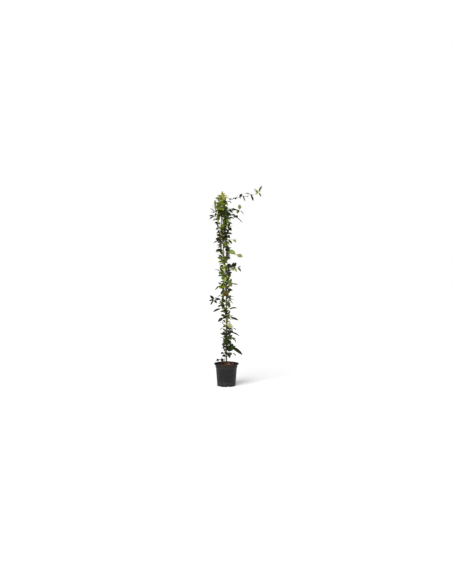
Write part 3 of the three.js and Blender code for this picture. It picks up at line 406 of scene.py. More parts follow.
class PotSettings(PropertyGroup):
    """Sizes and colours of the nursery pot."""

    height: a_length("Height", "From the ground to the top of the rim", POT_HIGH.z)
    rim_radius: a_length("Rim radius", "Out to the face of the rolled rim", POT_HIGH.x)
    base_radius: a_length("Base radius", "Out to the foot of the wall", 0.0695)
    neck_radius: a_length("Neck radius", "Out to the wall just below the shoulder", 0.079)
    neck_height: a_length("Neck height", "From the ground to the bottom of the shoulder", 0.132)
    collar_radius: a_length("Collar radius", "Out to the wall just above the shoulder", 0.083)
    collar_height: a_length("Collar height", "From the ground to the top of the shoulder", 0.141)
    wall: a_length("Wall", "Thickness of the plastic", 0.0016)
    lip_width: a_length("Lip width", "How far the rolled rim stands out from the wall", 0.0085)
    lip_drop: a_length("Lip drop", "How far the rolled rim hangs down", 0.008)
    foot_width: a_length("Foot width", "Width of the ring that the pot stands on", 0.006)
    floor_lift: a_length("Floor lift", "From the ground to the underside of the floor", 0.004)
    disc_radius: a_length("Disc radius", "Radius of the centre disc that rests on the ground", 0.044)
    arch_radius: a_length("Arch radius", "Radius of a drain arch at the foot", 0.009)
    arches: a_count("Arches", "Number of drain arches", 6, 3, 16)
    first_arch: a_number("First arch", "Bearing of the first drain arch, in degrees", 40)
    ribs: a_count("Ribs", "Number of shallow ribs on the wall", 24, 0, 200)
    rib_depth: a_length("Rib depth", "Height of a rib over the hollow beside it", 0.0007)
    plastic: a_colour("Plastic", "Colour of the pot", 14, 12, 16)
    dust: a_colour("Dust", "Colour of the dust on the pot", 76, 80, 70)
    spill: a_colour("Spill", "Colour of the potting mix spilt over the rim", 54, 35, 25)


class MixSettings(PropertyGroup):
    """Sizes and colours of the potting mix and the bark chips on it."""

    edge_depth: a_length("Headspace", "From the rim down to the mix at the wall", 0.025)
    gap: a_length("Gap", "Room between the mix and the pot", 0.0003)
    lump: a_length("Lump", "Height of the lumps on top", 0.0022)
    chips: a_count("Chips", "Number of bark chips", 420, len(PLACED_CHIPS), 2000)
    chip_length: a_length("Chip length", "Mean length of a bark chip", 0.0095)
    soil: a_colour("Soil", "Colour of the fine mix", 42, 31, 24)
    bark: a_colour("Bark", "Colour of most of the chips", 90, 60, 43)
    pale_bark: a_colour("Pale bark", "Colour of the freshly split chips", 174, 132, 102)


class CaneSettings(PropertyGroup):
    """Sizes and colours of the bamboo cane."""

    radius: a_length("Radius", "Radius of the cane between its joints", 0.004)
    bulge: a_length("Bulge", "How far the ring at a joint stands out", 0.0006)
    bamboo: a_colour("Bamboo", "Colour of the cane", 142, 116, 74)
    streak: a_colour("Streak", "Colour of the darker streaks and of the joints", 68, 52, 32)


class StemSettings(PropertyGroup):
    """Sizes and colours of the two stems."""

    knob: a_length("Knob", "How far the knobs where leaves grew stand out", 0.0006)
    bark_depth: a_length("Bark depth", "Depth of the furrows in the bark", 0.0003)
    old_bark: a_colour("Old bark", "Colour of the bark near the ground", 36, 31, 20)
    young_bark: a_colour("Young bark", "Colour of the bark near the top", 70, 54, 34)


class TieSettings(PropertyGroup):
    """Sizes and colour of the plant ties."""

    band: a_length("Band", "Thickness of the tie", 0.0013)
    height: a_length("Height", "Height of one turn of the tie", 0.0026)
    tail: a_length("Tail", "Length of each loose end", 0.011)
    plastic: a_colour("Plastic", "Colour of the tie", 226, 214, 186)


class LeafSettings(PropertyGroup):
    """Sizes of the leaves and twigs, and the tones that leaves come in."""

    thickness: a_length("Thickness", "Thickness of a blade at its midrib", 0.0006)
    twig_root: a_length("Twig root", "Radius of a twig where it leaves the stem", 0.0016)
    twig_tip: a_length("Twig tip", "Radius of a twig at its end", 0.0009)
    arch: a_number("Arch", "Rise of a leaf's middle over its length", 0.07)
    fold: a_number("Fold", "Slope of each half towards the margin", 0.26)
    twig: a_colour("Twig", "Colour of a twig", 62, 50, 30)
    old: a_colour("Old", "Tone of the dark green leaves", 30, 44, 9)
    # This tone is partly the leaves' own dark green and partly painted shade, which makes it almost black
    black: a_colour("Black", "Tone of the darkest leaves, almost black", 13, 19, 7)
    grey: a_colour("Grey", "Tone of the greyish green leaves", 80, 88, 38)
    teal: a_colour("Teal", "Tone of the dark leaves with a bluish bloom", 32, 43, 24)
    mid: a_colour("Mid", "Tone of the plain green leaves", 84, 103, 20)
    # Painted light: this tone is plain green with the light that falls on leaves facing the front painted in
    facing: a_colour("Facing", "Tone of the light green leaves that face the front", 118, 134, 64)
    olive: a_colour("Olive", "Tone of the olive green leaves", 105, 110, 18)
    khaki: a_colour("Khaki", "Tone of the fading leaves", 144, 144, 84)
    bronze: a_colour("Bronze", "Tone of the leaves that have turned bronze", 86, 70, 24)
    pale: a_colour("Pale", "Tone of the palest leaves", 166, 172, 106)
    young: a_colour("Young", "Tone of the young leaves near the top", 144, 146, 56)
    yellow: a_colour("Yellow", "Tone of the youngest leaf at the top", 166, 164, 78)
    dull: a_colour("Dull", "Tone of the dull leaves, most of them along the runner", 80, 82, 46)


class StageSettings(PropertyGroup):
    """The camera, the lights and the floor."""

    camera_distance: a_length("Camera distance", "From the camera to the pot's middle, along the ground", 4.2)
    camera_height: a_length("Camera height", "Height of the camera", 0.803)
    aim_height: a_length("Aim height", "Height of the point that the camera looks at", 0.712)
    aim_x: a_length("Aim across", "How far to the right that point and the camera are", -0.003, -1)
    lens: a_number("Lens", "Focal length", 34.12, unit="CAMERA")
    daylight: a_number("Daylight", "Strength of the light from all round", 0.2)
    key: a_number("Key light", "Strength of the light from the front left", 3)
    fill: a_number("Fill light", "Strength of the light from the right", 0.6)
    glow: a_number("Glow", "Strength of the floor's own light", 0.28)
    floor_radius: a_length("Floor radius", "How far the floor reaches", 60)
    floor: a_colour("Floor", "Colour of the floor", 246, 246, 246)


# Helpers on rows of points


def unit(vectors):
    """Each vector at length one."""
    return vectors / np.linalg.norm(vectors, axis=-1, keepdims=True)


def smooth_step(low, high, value):
    """0 up to low and 1 from high on, with an even S between them: 3t^2 - 2t^3."""
    t = np.clip((value - low) / (high - low), 0, 1)
    return t * t * (3 - 2 * t)


def bell(distance, spread):
    """A bell curve: 1 at no distance, and e to the power of -(distance / spread)^2 further off."""
    return np.exp(-((distance / spread) ** 2))


def circle(corners):
    """Points at distance 1 from the middle, in even steps anticlockwise from the right."""
    turn = np.arange(corners) * 2 * np.pi / corners
    return np.stack([np.cos(turn), np.sin(turn)], -1)


def running_length(points):
    """How far along a row of points each of them lies."""
    steps = np.linalg.norm(np.diff(points, axis=0), axis=1)
    return np.concatenate([[0], np.cumsum(steps)])


def columns_at(places, known, values):
    """Each column of the values at the places, straight between one known place and the next."""
    return np.stack([np.interp(places, known, column) for column in values.T], -1)


def lumps(points, spacing, seed, waves=12):
    """A smooth random height for each point: the sum of sine waves that run in random directions, each
    about one spacing long, divided so that it is mostly from -1 to 1."""
    usual_height = 1.6 * np.sqrt(waves / 2)
    chance = np.random.default_rng(seed)
    direction = unit(chance.normal(size=(waves, 3))) * chance.uniform(0.7, 1.5, (waves, 1))
    start = chance.uniform(0, 2 * np.pi, waves)
    return np.sin(points @ direction.T * (2 * np.pi / spacing) + start).sum(-1) / usual_height


def cane_centre(heights):
    """The cane's middle line: straight up, then an S over to the side where it leans."""
    lean = CANE_LEAN * smooth_step(CANE_LEAN_FROM, CANE_LEAN_TO, heights)
    return np.stack([lean, 0 * heights, heights], -1)


def from_cane(points):
    """The level way to each point from the cane's middle at its height."""
    return (points - cane_centre(points[:, 2])) * [1, 1, 0]


def keyed(keys, heights):
    """Each column of the keys at the heights: a cubic on each stretch between two keys, whose slope at
    a key is that of the line between the keys on either side of it."""
    rows, values = keys[:, 0], keys[:, 1:]
    low = np.maximum(np.arange(len(rows)) - 1, 0)
    high = np.minimum(np.arange(len(rows)) + 1, len(rows) - 1)
    slopes = (values[high] - values[low]) / (rows[high] - rows[low])[:, None]
    i = np.clip(np.searchsorted(rows, heights) - 1, 0, len(rows) - 2)
    span = (rows[i + 1] - rows[i])[:, None]
    t = np.clip((heights[:, None] - rows[i, None]) / span, 0, 1)
    rise = values[i + 1] - values[i]
    bend = (1 - t) * (slopes[i] * span - rise) - t * (slopes[i + 1] * span - rise)
    return values[i] + rise * t + t * (1 - t) * bend


def heading(bearing):
    """The level direction of a bearing in degrees."""
    turn = np.radians(bearing)
    return np.stack([np.cos(turn), np.sin(turn), 0 * turn], -1)


def stem_centre(stem, heights):
    """The stem's middle line: the cane's, and from there the keyed distance at the keyed bearing."""
    distance, bearing = keyed(np.array(stem.keys) * [MM, MM, 1], heights).T
    return cane_centre(heights) + distance[:, None] * heading(bearing)


def stem_ends(stem):
    """The heights at which a stem starts and ends."""
    return stem.keys[0][0] * MM, stem.keys[-1][0] * MM


def stem_radius(stem, heights):
    """The stem's radius, even from its root to its tip."""
    return np.interp(heights, stem_ends(stem), [stem.root_radius * MM, stem.tip_radius * MM])


def through(points, places):
    """The smooth curve through the points, at places counted in points: on each stretch a cubic, whose
    slope at a point is half the way from the point before it to the one after it."""
    before = 2 * points[0] - points[1]
    after = 2 * points[-1] - points[-2]
    held = np.concatenate([[before], points, [after]])
    i = np.clip(np.floor(places).astype(int), 0, len(points) - 2)
    t = (places - i)[:, None]
    a, b, c, d = held[i], held[i + 1], held[i + 2], held[i + 3]
    return b + 0.5 * t * (c - a + t * (2 * a - 5 * b + 4 * c - d + t * (3 * (b - c) + d - a)))


# Skins: closed surfaces in the making


class Skin(NamedTuple):
    """Points, four-cornered faces and flat end faces, with the pattern's place at each corner, each
    point's tint, and the number of the piece's material."""

    points: np.ndarray
    quads: np.ndarray
    ends: np.ndarray
    places: np.ndarray
    tint: np.ndarray
    material: int


def tubes(rings, tint=(1, 1, 1), material=0, along=None, looped=False):
    """The closed skins of rows of rings, shape (tubes, rings, corners, 3): faces between neighbouring
    rings, and a flat face over each end unless the tube is looped. Rings run anticlockwise seen from
    the far end. The pattern's place is how far along the ring lies, and the corner's turn, 0 to 2."""
    count, length, corners = rings.shape[:3]
    number = np.arange(count * length * corners).reshape(count, length, corners)
    along = np.linspace(0, 1, length) if along is None else np.asarray(along)
    turn = np.linspace(0, 2, corners + 1)
    last = length if looped else length - 1
    ahead = np.roll(number, -1, axis=1)
    quads = np.stack([number, np.roll(number, -1, 2), np.roll(ahead, -1, 2), ahead], -1)[:, :last]
    place = np.stack(np.broadcast_arrays(along[:, None], turn), -1)
    place_ahead = np.roll(place, -1, axis=0)
    corner_place = np.stack([place[:, :-1], place[:, 1:], place_ahead[:, 1:], place_ahead[:, :-1]], 2)[:last]
    quad_places = np.broadcast_to(corner_place, (count, last, corners, 4, 2)).reshape(-1, 2)
    ends = np.zeros((0, corners), int)
    end_places = np.zeros((0, 2))
    if not looped:
        ends = np.concatenate([number[:, 0, ::-1], number[:, -1]])
        sides = [place[0, -2::-1], place[-1, :-1]]
        end_places = np.concatenate([np.tile(side, (count, 1)) for side in sides])
    tints = np.broadcast_to(np.asarray(tint, float).reshape(-1, 1, 1, 3), rings.shape)
    return Skin(rings.reshape(-1, 3), quads.reshape(-1, 4), ends,
                np.concatenate([quad_places, end_places]), tints.reshape(-1, 3), material)


def rings_round(path, radii, corners, reference):
    """Rings round a path: each lies square to it, and starts on the side that the path's direction
    leaves of the reference's cross product. Radii are one for each ring, or one for each corner."""
    ahead = unit(np.gradient(path, axis=0))
    across = unit(np.cross(reference, ahead))
    above = np.cross(ahead, across)
    wheel = circle(corners)
    spokes = across[:, None] * wheel[:, :1] + above[:, None] * wheel[:, 1:]
    return path[:, None] + spokes * np.reshape(radii, (len(path), -1, 1))


def put_in_scene(name, contents):
    """A new object in the scene that holds a mesh, a light or a camera."""
    made = bpy.data.objects.new(name, contents)
    bpy.context.scene.collection.objects.link(made)
    return made


def make_piece(name, skins, materials, replaces=(), sharp=60):
    """Makes one piece of the skins, which rides on the root body. Edges that turn further than the
    sharp angle, in degrees, aren't smoothed over."""
    starts = np.cumsum([0] + [len(skin.points) for skin in skins])
    faces = []
    for start, skin in zip(starts, skins):
        faces += (skin.quads + start).tolist() + (skin.ends + start).tolist()
    mesh = bpy.data.meshes.new(name)
    mesh.from_pydata(np.concatenate([skin.points for skin in skins]).tolist(), [], faces)
    layer = mesh.uv_layers.new(name="pattern")
    layer.uv.foreach_set("vector", np.concatenate([skin.places for skin in skins]).ravel())
    tint = mesh.color_attributes.new(name="tint", type="FLOAT_COLOR", domain="POINT")
    tints = np.concatenate([skin.tint for skin in skins])
    tint.data.foreach_set("color", np.column_stack([tints, np.ones(len(tints))]).ravel())
    worn = np.repeat([skin.material for skin in skins], [len(skin.quads) + len(skin.ends) for skin in skins])
    for material in materials:
        mesh.materials.append(material)
    mesh.polygons.foreach_set("material_index", worn)
    mesh.shade_smooth()
    mesh.set_sharp_from_angle(angle=np.radians(sharp))
    piece = put_in_scene(name, mesh)
    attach(piece, "root")
    if replaces:
        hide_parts(*replaces)
    return piece


# Materials


class Socket:
    """A node's output, so that shader maths reads as Python maths."""

    def __init__(self, recipe, output):
        self.recipe = recipe
        self.output = output

    def maths(self, operation, *values):
        return self.recipe.node("ShaderNodeMath", {"operation": operation}, dict(enumerate(values)))

    def __add__(self, other):
        return self.maths("ADD", self, other)

    def __sub__(self, other):
        return self.maths("SUBTRACT", self, other)

    def __rsub__(self, other):
        return self.maths("SUBTRACT", other, self)

    def __mul__(self, other):
        return self.maths("MULTIPLY", self, other)

    def __gt__(self, other):
        return self.maths("GREATER_THAN", self, other)

    def __abs__(self):
        return self.maths("ABSOLUTE", self)

    def fraction(self):
        return self.maths("FRACT", self)

    def between(self, low, high):
        """0 up to low and 1 from high on, and the other way round where low is the higher."""
        settings = {"interpolation_type": "SMOOTHSTEP"}
        return self.recipe.node("ShaderNodeMapRange", settings, {0: self, 1: low, 2: high})

    __radd__ = __add__


class Recipe:
    """A material's nodes in the making."""

    def __init__(self, name):
        self.material = bpy.data.materials.new(name)
        self.material.use_nodes = True
        self.tree = self.material.node_tree
        self.tree.nodes.clear()
        self.place = self.node("ShaderNodeTexCoord", output="Object")

    def node(self, kind, settings=None, inputs=None, output=0):
        """Adds a node, sets what it is, then its sockets, from values or other sockets."""
        made = self.tree.nodes.new(kind)
        for name, value in (settings or {}).items():
            setattr(made, name, value)
        for key, value in (inputs or {}).items():
            if isinstance(value, Socket):
                self.tree.links.new(value.output, made.inputs[key])
            else:
                made.inputs[key].default_value = value
        return Socket(self, made.outputs[output])

    def mix(self, factor, first, second):
        """The first colour where the factor is 0 and the second where it is 1."""
        return self.node("ShaderNodeMix", {"data_type": "RGBA"}, {0: factor, 6: first, 7: second}, output=2)

    def times(self, tone, factor):
        """A colour made darker or brighter by a factor."""
        settings = {"data_type": "RGBA", "blend_type": "MULTIPLY"}
        return self.node("ShaderNodeMix", settings, {0: 1, 6: tone, 7: factor}, output=2)

    def noise(self, blot, detail=4, roughness=0.55, stretch=None):
        """Soft noise from 0 to 1 whose blots are about that wide, in metres, and longer along an axis
        where the stretch is less than 1."""
        place = self.place
        if stretch:
            place = self.node("ShaderNodeMapping", inputs={"Vector": place, "Scale": stretch})
        inputs = {"Vector": place, "Scale": 1 / blot, "Detail": detail, "Roughness": roughness}
        return self.node("ShaderNodeTexNoise", inputs=inputs)

    def grains(self, width):
        """The distance from the middle of the nearest grain of about that width, 0 to about 1."""
        return self.node("ShaderNodeTexVoronoi", inputs={"Vector": self.place, "Scale": 1 / width})

    def tint(self):
        """The tint of the mesh's points."""
        return self.node("ShaderNodeAttribute", {"attribute_name": "tint"}, output="Color")

    def pattern(self):
        """The pattern's place: how far along the piece, and the turn round it."""
        place = self.node("ShaderNodeUVMap", {"uv_map": "pattern"})
        return [self.axis(place, number) for number in (0, 1)]

    def axis(self, place, number):
        """One of the three numbers of a place."""
        return self.node("ShaderNodeSeparateXYZ", inputs={0: place}, output=number)

    def height(self):
        """The height above the ground, in metres."""
        return self.axis(self.place, 2)

    def bump(self, height, depth, strength=1.0):
        """A surface that rises by up to that depth, in metres, where the height is 1."""
        return self.node("ShaderNodeBump", inputs={"Height": height, "Distance": depth, "Strength": strength})

    def finish(self, tone, roughness, normal, **sockets):
        """Ends the recipe in one Principled shader and returns the material."""
        inputs = {"Base Color": tone, "Roughness": roughness, "Normal": normal}
        inputs.update({name.replace("_", " "): value for name, value in sockets.items()})
        shader = self.node("ShaderNodeBsdfPrincipled", inputs=inputs)
        surface = self.tree.nodes.new("ShaderNodeOutputMaterial")
        self.tree.links.new(shader.output, surface.inputs["Surface"])
        return self.material


def opaque(tone):
    """A colour setting as the four numbers that a socket takes."""
    return (*tone, 1)


def leaf_finish():
    """Waxy leaf: the leaf's tint, uneven in patches, with a pale midrib and paler side veins that run
    forwards to the margin. The underside is paler and duller. Veins are sunk above and raised below."""
    rib_tone = (0.42, 0.46, 0.22, 1)
    underside_tone = (0.20, 0.24, 0.12, 1)
    veins = 8
    recipe = Recipe("jasmine_leaf")
    along, turn = recipe.pattern()
    beneath = turn > 1
    from_rib = abs(turn.fraction() - 0.5) * 2
    rib = from_rib.between(0.16, 0.03)
    vein_place = (along * veins - from_rib * 1.1).fraction()
    vein = abs(vein_place - 0.5).between(0.16, 0.0) * from_rib.between(1, 0.55) * (along > 0)
    patches = recipe.noise(0.014)
    tint = recipe.times(recipe.tint(), patches * 0.7 + 0.65)
    upper = recipe.mix(rib * 0.4 + vein * 0.1, tint, recipe.mix(0.3, tint, rib_tone))
    lower = recipe.mix(0.28 + rib * 0.3, tint, underside_tone)
    tone = recipe.mix(beneath, upper, lower)
    relief = (rib + vein * 0.45) * (beneath * 2 - 1) + patches * 0.15
    roughness = 0.38 + beneath * 0.24 + patches * 0.1
    return recipe.finish(tone, roughness, recipe.bump(relief, 0.0004, 0.7), Specular_IOR_Level=0.06)


def twig_finish():
    """Thin bark with fine furrows along it, and pale specks."""
    speck_tone = (0.36, 0.30, 0.20, 1)
    recipe = Recipe("jasmine_twig")
    furrows = recipe.noise(0.0022)
    specks = recipe.grains(0.0016).between(0.22, 0.1)
    tone = recipe.mix(specks * 0.35, recipe.times(recipe.tint(), furrows + 0.5), speck_tone)
    return recipe.finish(tone, 0.7, recipe.bump(furrows, 0.0003, 0.8), Specular_IOR_Level=0.25)


def bark_finish(looks, top):
    """Vine bark: dark furrows drawn out along the stem over old bark below and young bark above, with
    pale corky specks."""
    all_old_below = 0.25
    speck_tone = (0.30, 0.24, 0.18, 1)
    recipe = Recipe("jasmine_bark")
    youth = recipe.height().between(all_old_below, top)
    furrows = recipe.noise(0.0022, 6, 0.65, (1, 1, 0.18))
    specks = recipe.grains(0.0032).between(0.24, 0.08)
    bark = recipe.mix(youth, opaque(looks.old_bark), opaque(looks.young_bark))
    furrowed = recipe.times(bark, furrows.between(0.25, 0.7) * 1.1 + 0.35)
    tone = recipe.mix(specks * 0.2, furrowed, speck_tone)
    normal = recipe.bump(furrows + specks * 0.3, 0.0009, 0.9)
    return recipe.finish(tone, 0.85 - specks * 0.15, normal, Specular_IOR_Level=0.25)


def cane_finish(looks):
    """Dry bamboo: fine streaks along the cane, blotches, a dark ring at each joint, and darkening towards the
    ground that is partly painted shade and partly weathering."""
    recipe = Recipe("bamboo")
    height = recipe.height()
    since_joint = ((height - CANE_FIRST_JOINT) * (1 / CANE_JOINT_SPACING) + 0.5).fraction()
    joint = abs(since_joint - 0.5).between(0.03, 0.006)
    streaks = recipe.noise(0.0012, 5, stretch=(1, 1, 0.03))
    blotches = recipe.noise(0.012, 4, 0.6, (1, 1, 0.4))
    worn = streaks.between(0.5, 0.75) * 0.45 + blotches.between(0.5, 0.8) * 0.45
    # Darker towards the ground: painted shade, together with some weathering
    painted_shade_and_wear = height.between(0.7, 0.2) * 0.35
    tone = recipe.mix(worn + joint * 0.5 + painted_shade_and_wear, opaque(looks.bamboo), opaque(looks.streak))
    return recipe.finish(tone, 0.42 + worn * 0.3, recipe.bump(streaks, 0.0003, 0.5), Coat_Weight=0.1)


def pot_finish(looks):
    """Thin black plastic, darkened at its foot by painted shade: fine grain, faint flow marks up the wall,
    dust in splashes, most of it low on the wall, and potting mix spilt over the rim in front."""
    recipe = Recipe("pot_plastic")
    across, back, height = (recipe.axis(recipe.place, number) for number in range(3))
    grain = recipe.noise(0.0011, 3)
    flow = recipe.noise(0.007, stretch=(1, 1, 0.06))
    splash = recipe.noise(0.016, 6, 0.68)
    low = height.between(0.060, 0.015)
    high = height.between(0.125, 0.165)
    dusty = (splash + low * 0.16 + high * 0.05).between(0.54, 0.70) * height.between(0.006, 0.020)
    in_front = across.between(-0.062, -0.035) * across.between(0.072, 0.045) * back.between(-0.03, -0.06)
    spilt = in_front * height.between(0.124, 0.156) * splash.between(0.36, 0.56)
    # Painted shade: the plastic is darkened towards the ground, down to a quarter at the foot, where shade
    # falls
    foot = height.between(-0.002, 0.018) * 0.75 + 0.25
    plastic = recipe.times(opaque(looks.plastic), (flow * 0.7 + 0.65) * foot)
    dusted = recipe.mix(dusty * 0.34, plastic, opaque(looks.dust))
    tone = recipe.mix(spilt * 0.8, dusted, recipe.times(opaque(looks.spill), grain + 0.5))
    roughness = 0.46 + dusty * 0.3 + flow * 0.12
    relief = grain * 0.4 + flow * 0.6 + dusty * 0.3
    return recipe.finish(tone, roughness, recipe.bump(relief, 0.0004, 0.6), Specular_IOR_Level=0.3)


def soil_finish(looks):
    """Crumbly bark mix: coarse and fine crumbs, dark between them, and darker near the ground, where shade is
    painted in.
    """
    recipe = Recipe("potting_mix")
    crumbs = recipe.grains(0.0042)
    fine = recipe.noise(0.0025, 6, 0.7)
    blots = recipe.noise(0.02, 3)
    # Painted shade: the mix is darkened towards the ground, to 0.15 at the bottom, where it sits in the pot's
    # shade
    painted_shade = recipe.height().between(0.02, 0.12) * 0.85 + 0.15
    dark = recipe.times(opaque(looks.soil), fine + 0.25)
    mixed = recipe.mix(blots.between(0.45, 0.7) * 0.6, dark, recipe.times(opaque(looks.bark), fine * 0.8))
    tone = recipe.times(mixed, painted_shade)
    normal = recipe.bump(fine - crumbs * 0.7, 0.0018)
    return recipe.finish(tone, 0.95, normal, Specular_IOR_Level=0.2)


def chip_finish():
    """Split bark: the chip's own tint, rough with fine fibres."""
    recipe = Recipe("bark_chip")
    fibres = recipe.noise(0.0016, 6, 0.7)
    tone = recipe.times(recipe.tint(), fibres * 1.1 + 0.4)
    return recipe.finish(tone, 0.88, recipe.bump(fibres, 0.0008), Specular_IOR_Level=0.2)


def tie_finish(looks):
    """Soft plastic: faint ribs round the band and a little grime."""
    recipe = Recipe("plant_tie")
    grime = recipe.noise(0.006, 5, 0.65)
    ribs = recipe.noise(0.0016, 2, stretch=(1, 1, 3))
    tone = recipe.times(opaque(looks.plastic), grime * 0.5 + 0.7)
    return recipe.finish(tone, 0.45 + grime * 0.2, recipe.bump(ribs, 0.0002, 0.6))


def floor_finish(looks):
    """Plain matt studio floor that glows a little, so that shadows stay faint on it."""
    recipe = Recipe("studio_floor")
    paper = recipe.noise(0.8, 2)
    tone = recipe.times(opaque(looks.floor), paper * 0.01 + 0.99)
    glow = {"Emission_Color": (1, 1, 1, 1), "Emission_Strength": looks.glow}
    return recipe.finish(tone, 0.9, recipe.bump(paper, 0.0001, 0.1), **glow)


# Shapes


def rounded(outline, radii, steps=4):
    """The outline with each inner corner given way to a curve that starts and ends one radius from it:
    a quadratic curve that the corner pulls."""
    before, corner, after = outline[:-2], outline[1:-1], outline[2:]
    start = corner + unit(before - corner) * np.array(radii)[:, None]
    end = corner + unit(after - corner) * np.array(radii)[:, None]
    t = np.linspace(0, 1, steps + 1)[:, None]
    curve = (1 - t) ** 2 * start[:, None] + 2 * t * (1 - t) * corner[:, None] + t**2 * end[:, None]
    return np.concatenate([outline[:1], curve.reshape(-1, 2), outline[-1:]])


def stepped(outline, step):
    """The outline with more points, so that none lies further than a step from the next."""
    reach = running_length(outline)
    places = np.union1d(reach, np.arange(0, reach[-1], step))
    return columns_at(places, reach, outline)


def pot_wall_radius(pot, height):
    """The wall leans out evenly from the foot to the neck, steps out over the shoulder to the collar,
    and leans out a little more up to the rim."""
    heights = (0, pot.neck_height, pot.collar_height, pot.height)
    top = pot.rim_radius - pot.lip_width
    return np.interp(height, heights, (pot.base_radius, pot.neck_radius, pot.collar_radius, top))


def arch_turns(pot):
    """The bearings of the wall's corners, which follow a half circle over each drain arch, how far the
    wall's edge is lifted at each, and which of the faces between them stand in an arch."""
    swing = np.radians(np.linspace(-90, 90, 11))
    half = pot.arch_radius / pot.base_radius
    sector = 2 * np.pi / pot.arches
    between = np.linspace(half, sector - half, 15)[1:-1]
    turns = np.concatenate([half * np.sin(swing), between])
    lift = np.concatenate([pot.arch_radius * np.cos(swing), 0 * between])
    bearings = np.arange(pot.arches)[:, None] * sector + np.radians(pot.first_arch) + turns
    in_arch = np.arange(len(turns)) < len(swing) - 1
    return bearings.ravel(), np.tile(lift, pot.arches), np.tile(in_arch, pot.arches)


def pot_skin(pot):
    """The pot's outer face: an outline with rounded corners carried round the axis, from the hub of the
    floor out to the foot, up the wall, out beneath the rim and down inside its lip. Ribs push the wall
    out and in by a cosine of the turn. Over each drain arch the wall's edge is lifted to a half circle,
    and the wall above it less and less, and the foot and the floor's edge are left out."""
    hub, slope, step, arch_fade, rib_end = 0.002, 0.002, 0.004, 0.030, 0.012
    lip_inside = pot.rim_radius - pot.wall
    under_rim = pot.height - pot.wall
    foot_inside = pot.base_radius - pot.foot_width
    floor_outside = foot_inside - slope / 2
    corners = np.array([
        (hub, 0), (pot.disc_radius, 0), (pot.disc_radius + slope, pot.floor_lift),
        (floor_outside, pot.floor_lift), (foot_inside, 0), (pot.base_radius, 0),
        (pot.neck_radius, pot.neck_height), (pot.collar_radius, pot.collar_height),
        (pot_wall_radius(pot, under_rim), under_rim), (lip_inside, under_rim),
        (lip_inside, pot.height - pot.lip_drop),
    ])
    bends = [0.001, 0.001, 0.001, 0.0006, 0.0006, 0.004, 0.004, 0.002, 0.0012]
    radius, height = stepped(rounded(corners, bends), step).T
    foot_from = np.argmax(radius > floor_outside - slope)
    wall_from = np.argmax((radius >= pot.base_radius) & (height > 0))
    row = np.arange(len(radius))
    walled = row >= wall_from
    bearing, lift, in_arch = arch_turns(pot)
    fade = np.clip(1 - height / arch_fade, 0, 1) ** 2 * walled
    rib_top = pot.neck_height - rib_end
    ribbed = smooth_step(arch_fade, arch_fade + rib_end, height) * walled
    ribbed = ribbed * smooth_step(rib_top, rib_top - rib_end, height)
    out = radius[:, None] + ribbed[:, None] * pot.rib_depth / 2 * np.cos(pot.ribs * bearing)
    up = height[:, None] + fade[:, None] * lift
    points = np.stack([out * np.cos(bearing), out * np.sin(bearing), up], -1)
    foot = ((row >= foot_from) & ~walled)[:-1]
    keep = ~(foot[:, None] & in_arch)
    return kept_faces(tubes(points[None]), keep.ravel())


def kept_faces(skin, keep):
    """The open skin of only those faces that are kept, with the first end, and no point without a face."""
    quads = skin.quads[keep]
    hub = skin.ends[:1]
    used, renumbered = np.unique(np.concatenate([quads.ravel(), hub.ravel()]), return_inverse=True)
    places = skin.places[: len(skin.quads) * 4].reshape(-1, 4, 2)[keep].reshape(-1, 2)
    hub_places = skin.places[len(skin.quads) * 4 :][: hub.size]
    return Skin(skin.points[used], renumbered[: quads.size].reshape(-1, 4),
                renumbered[quads.size :].reshape(1, -1), np.concatenate([places, hub_places]),
                skin.tint[used], skin.material)


def mix_top(mix, pot, x, y):
    """The height of the potting mix: a dome that falls from the rim's height to the headspace at the
    wall, with random lumps."""
    edge = pot.height - mix.edge_depth
    radii = [*DOME_RADII, pot_wall_radius(pot, edge) - pot.wall - mix.gap]
    dome = np.interp(np.hypot(x, y), radii, [*DOME_HEIGHTS, edge])
    points = np.stack([x, y, 0 * x], -1)
    coarse, fine = lumps(points, 0.020, 3), lumps(points, 0.008, 4)
    return dome + mix.lump * (0.6 * coarse + 0.4 * fine)


def mix_skin(mix, pot):
    """The mix: rings from the middle of its underside out to the wall, up it, and back in over the
    lumpy top."""
    hub, slope_in, slope_out, rows, wheel = 0.0015, 0.0013, 0.001, 40, circle(128)
    gap = pot.wall + mix.gap
    floor = pot.floor_lift + gap
    edge = pot.height - mix.edge_depth - 2 * mix.lump
    side = np.array([
        (hub, gap), (pot.disc_radius - slope_in, gap), (pot.disc_radius + slope_out, floor),
        (pot_wall_radius(pot, floor) - gap, floor), (pot.neck_radius - gap, pot.neck_height),
        (pot.collar_radius - gap, pot.collar_height), (pot_wall_radius(pot, edge) - gap, edge),
    ])
    up = np.broadcast_to(side[:, 1:, None], (len(side), len(wheel), 1))
    flank = np.concatenate([side[:, :1, None] * wheel, up], -1)
    inwards = np.linspace(side[-1, 0], hub, rows)
    level = inwards[:, None, None] * wheel
    top = np.concatenate([level, mix_top(mix, pot, level[..., 0], level[..., 1])[..., None]], -1)
    return tubes(np.concatenate([flank, top])[None])


def turned(points, yaw, pitch, roll):
    """Groups of points, shape (groups, ..., 3), each rolled about X, pitched about Y and then yawed
    about Z by its own angles."""
    zero, one = 0 * yaw, 0 * yaw + 1
    about_x = [[one, zero, zero], [zero, np.cos(roll), -np.sin(roll)], [zero, np.sin(roll), np.cos(roll)]]
    about_y = [[np.cos(pitch), zero, np.sin(pitch)], [zero, one, zero], [-np.sin(pitch), zero, np.cos(pitch)]]
    about_z = [[np.cos(yaw), -np.sin(yaw), zero], [np.sin(yaw), np.cos(yaw), zero], [zero, zero, one]]
    x, y, z = (np.array(matrix).transpose(2, 0, 1) for matrix in (about_x, about_y, about_z))
    return np.einsum("nij,njk,nkl,n...l->n...i", z, y, x, points)


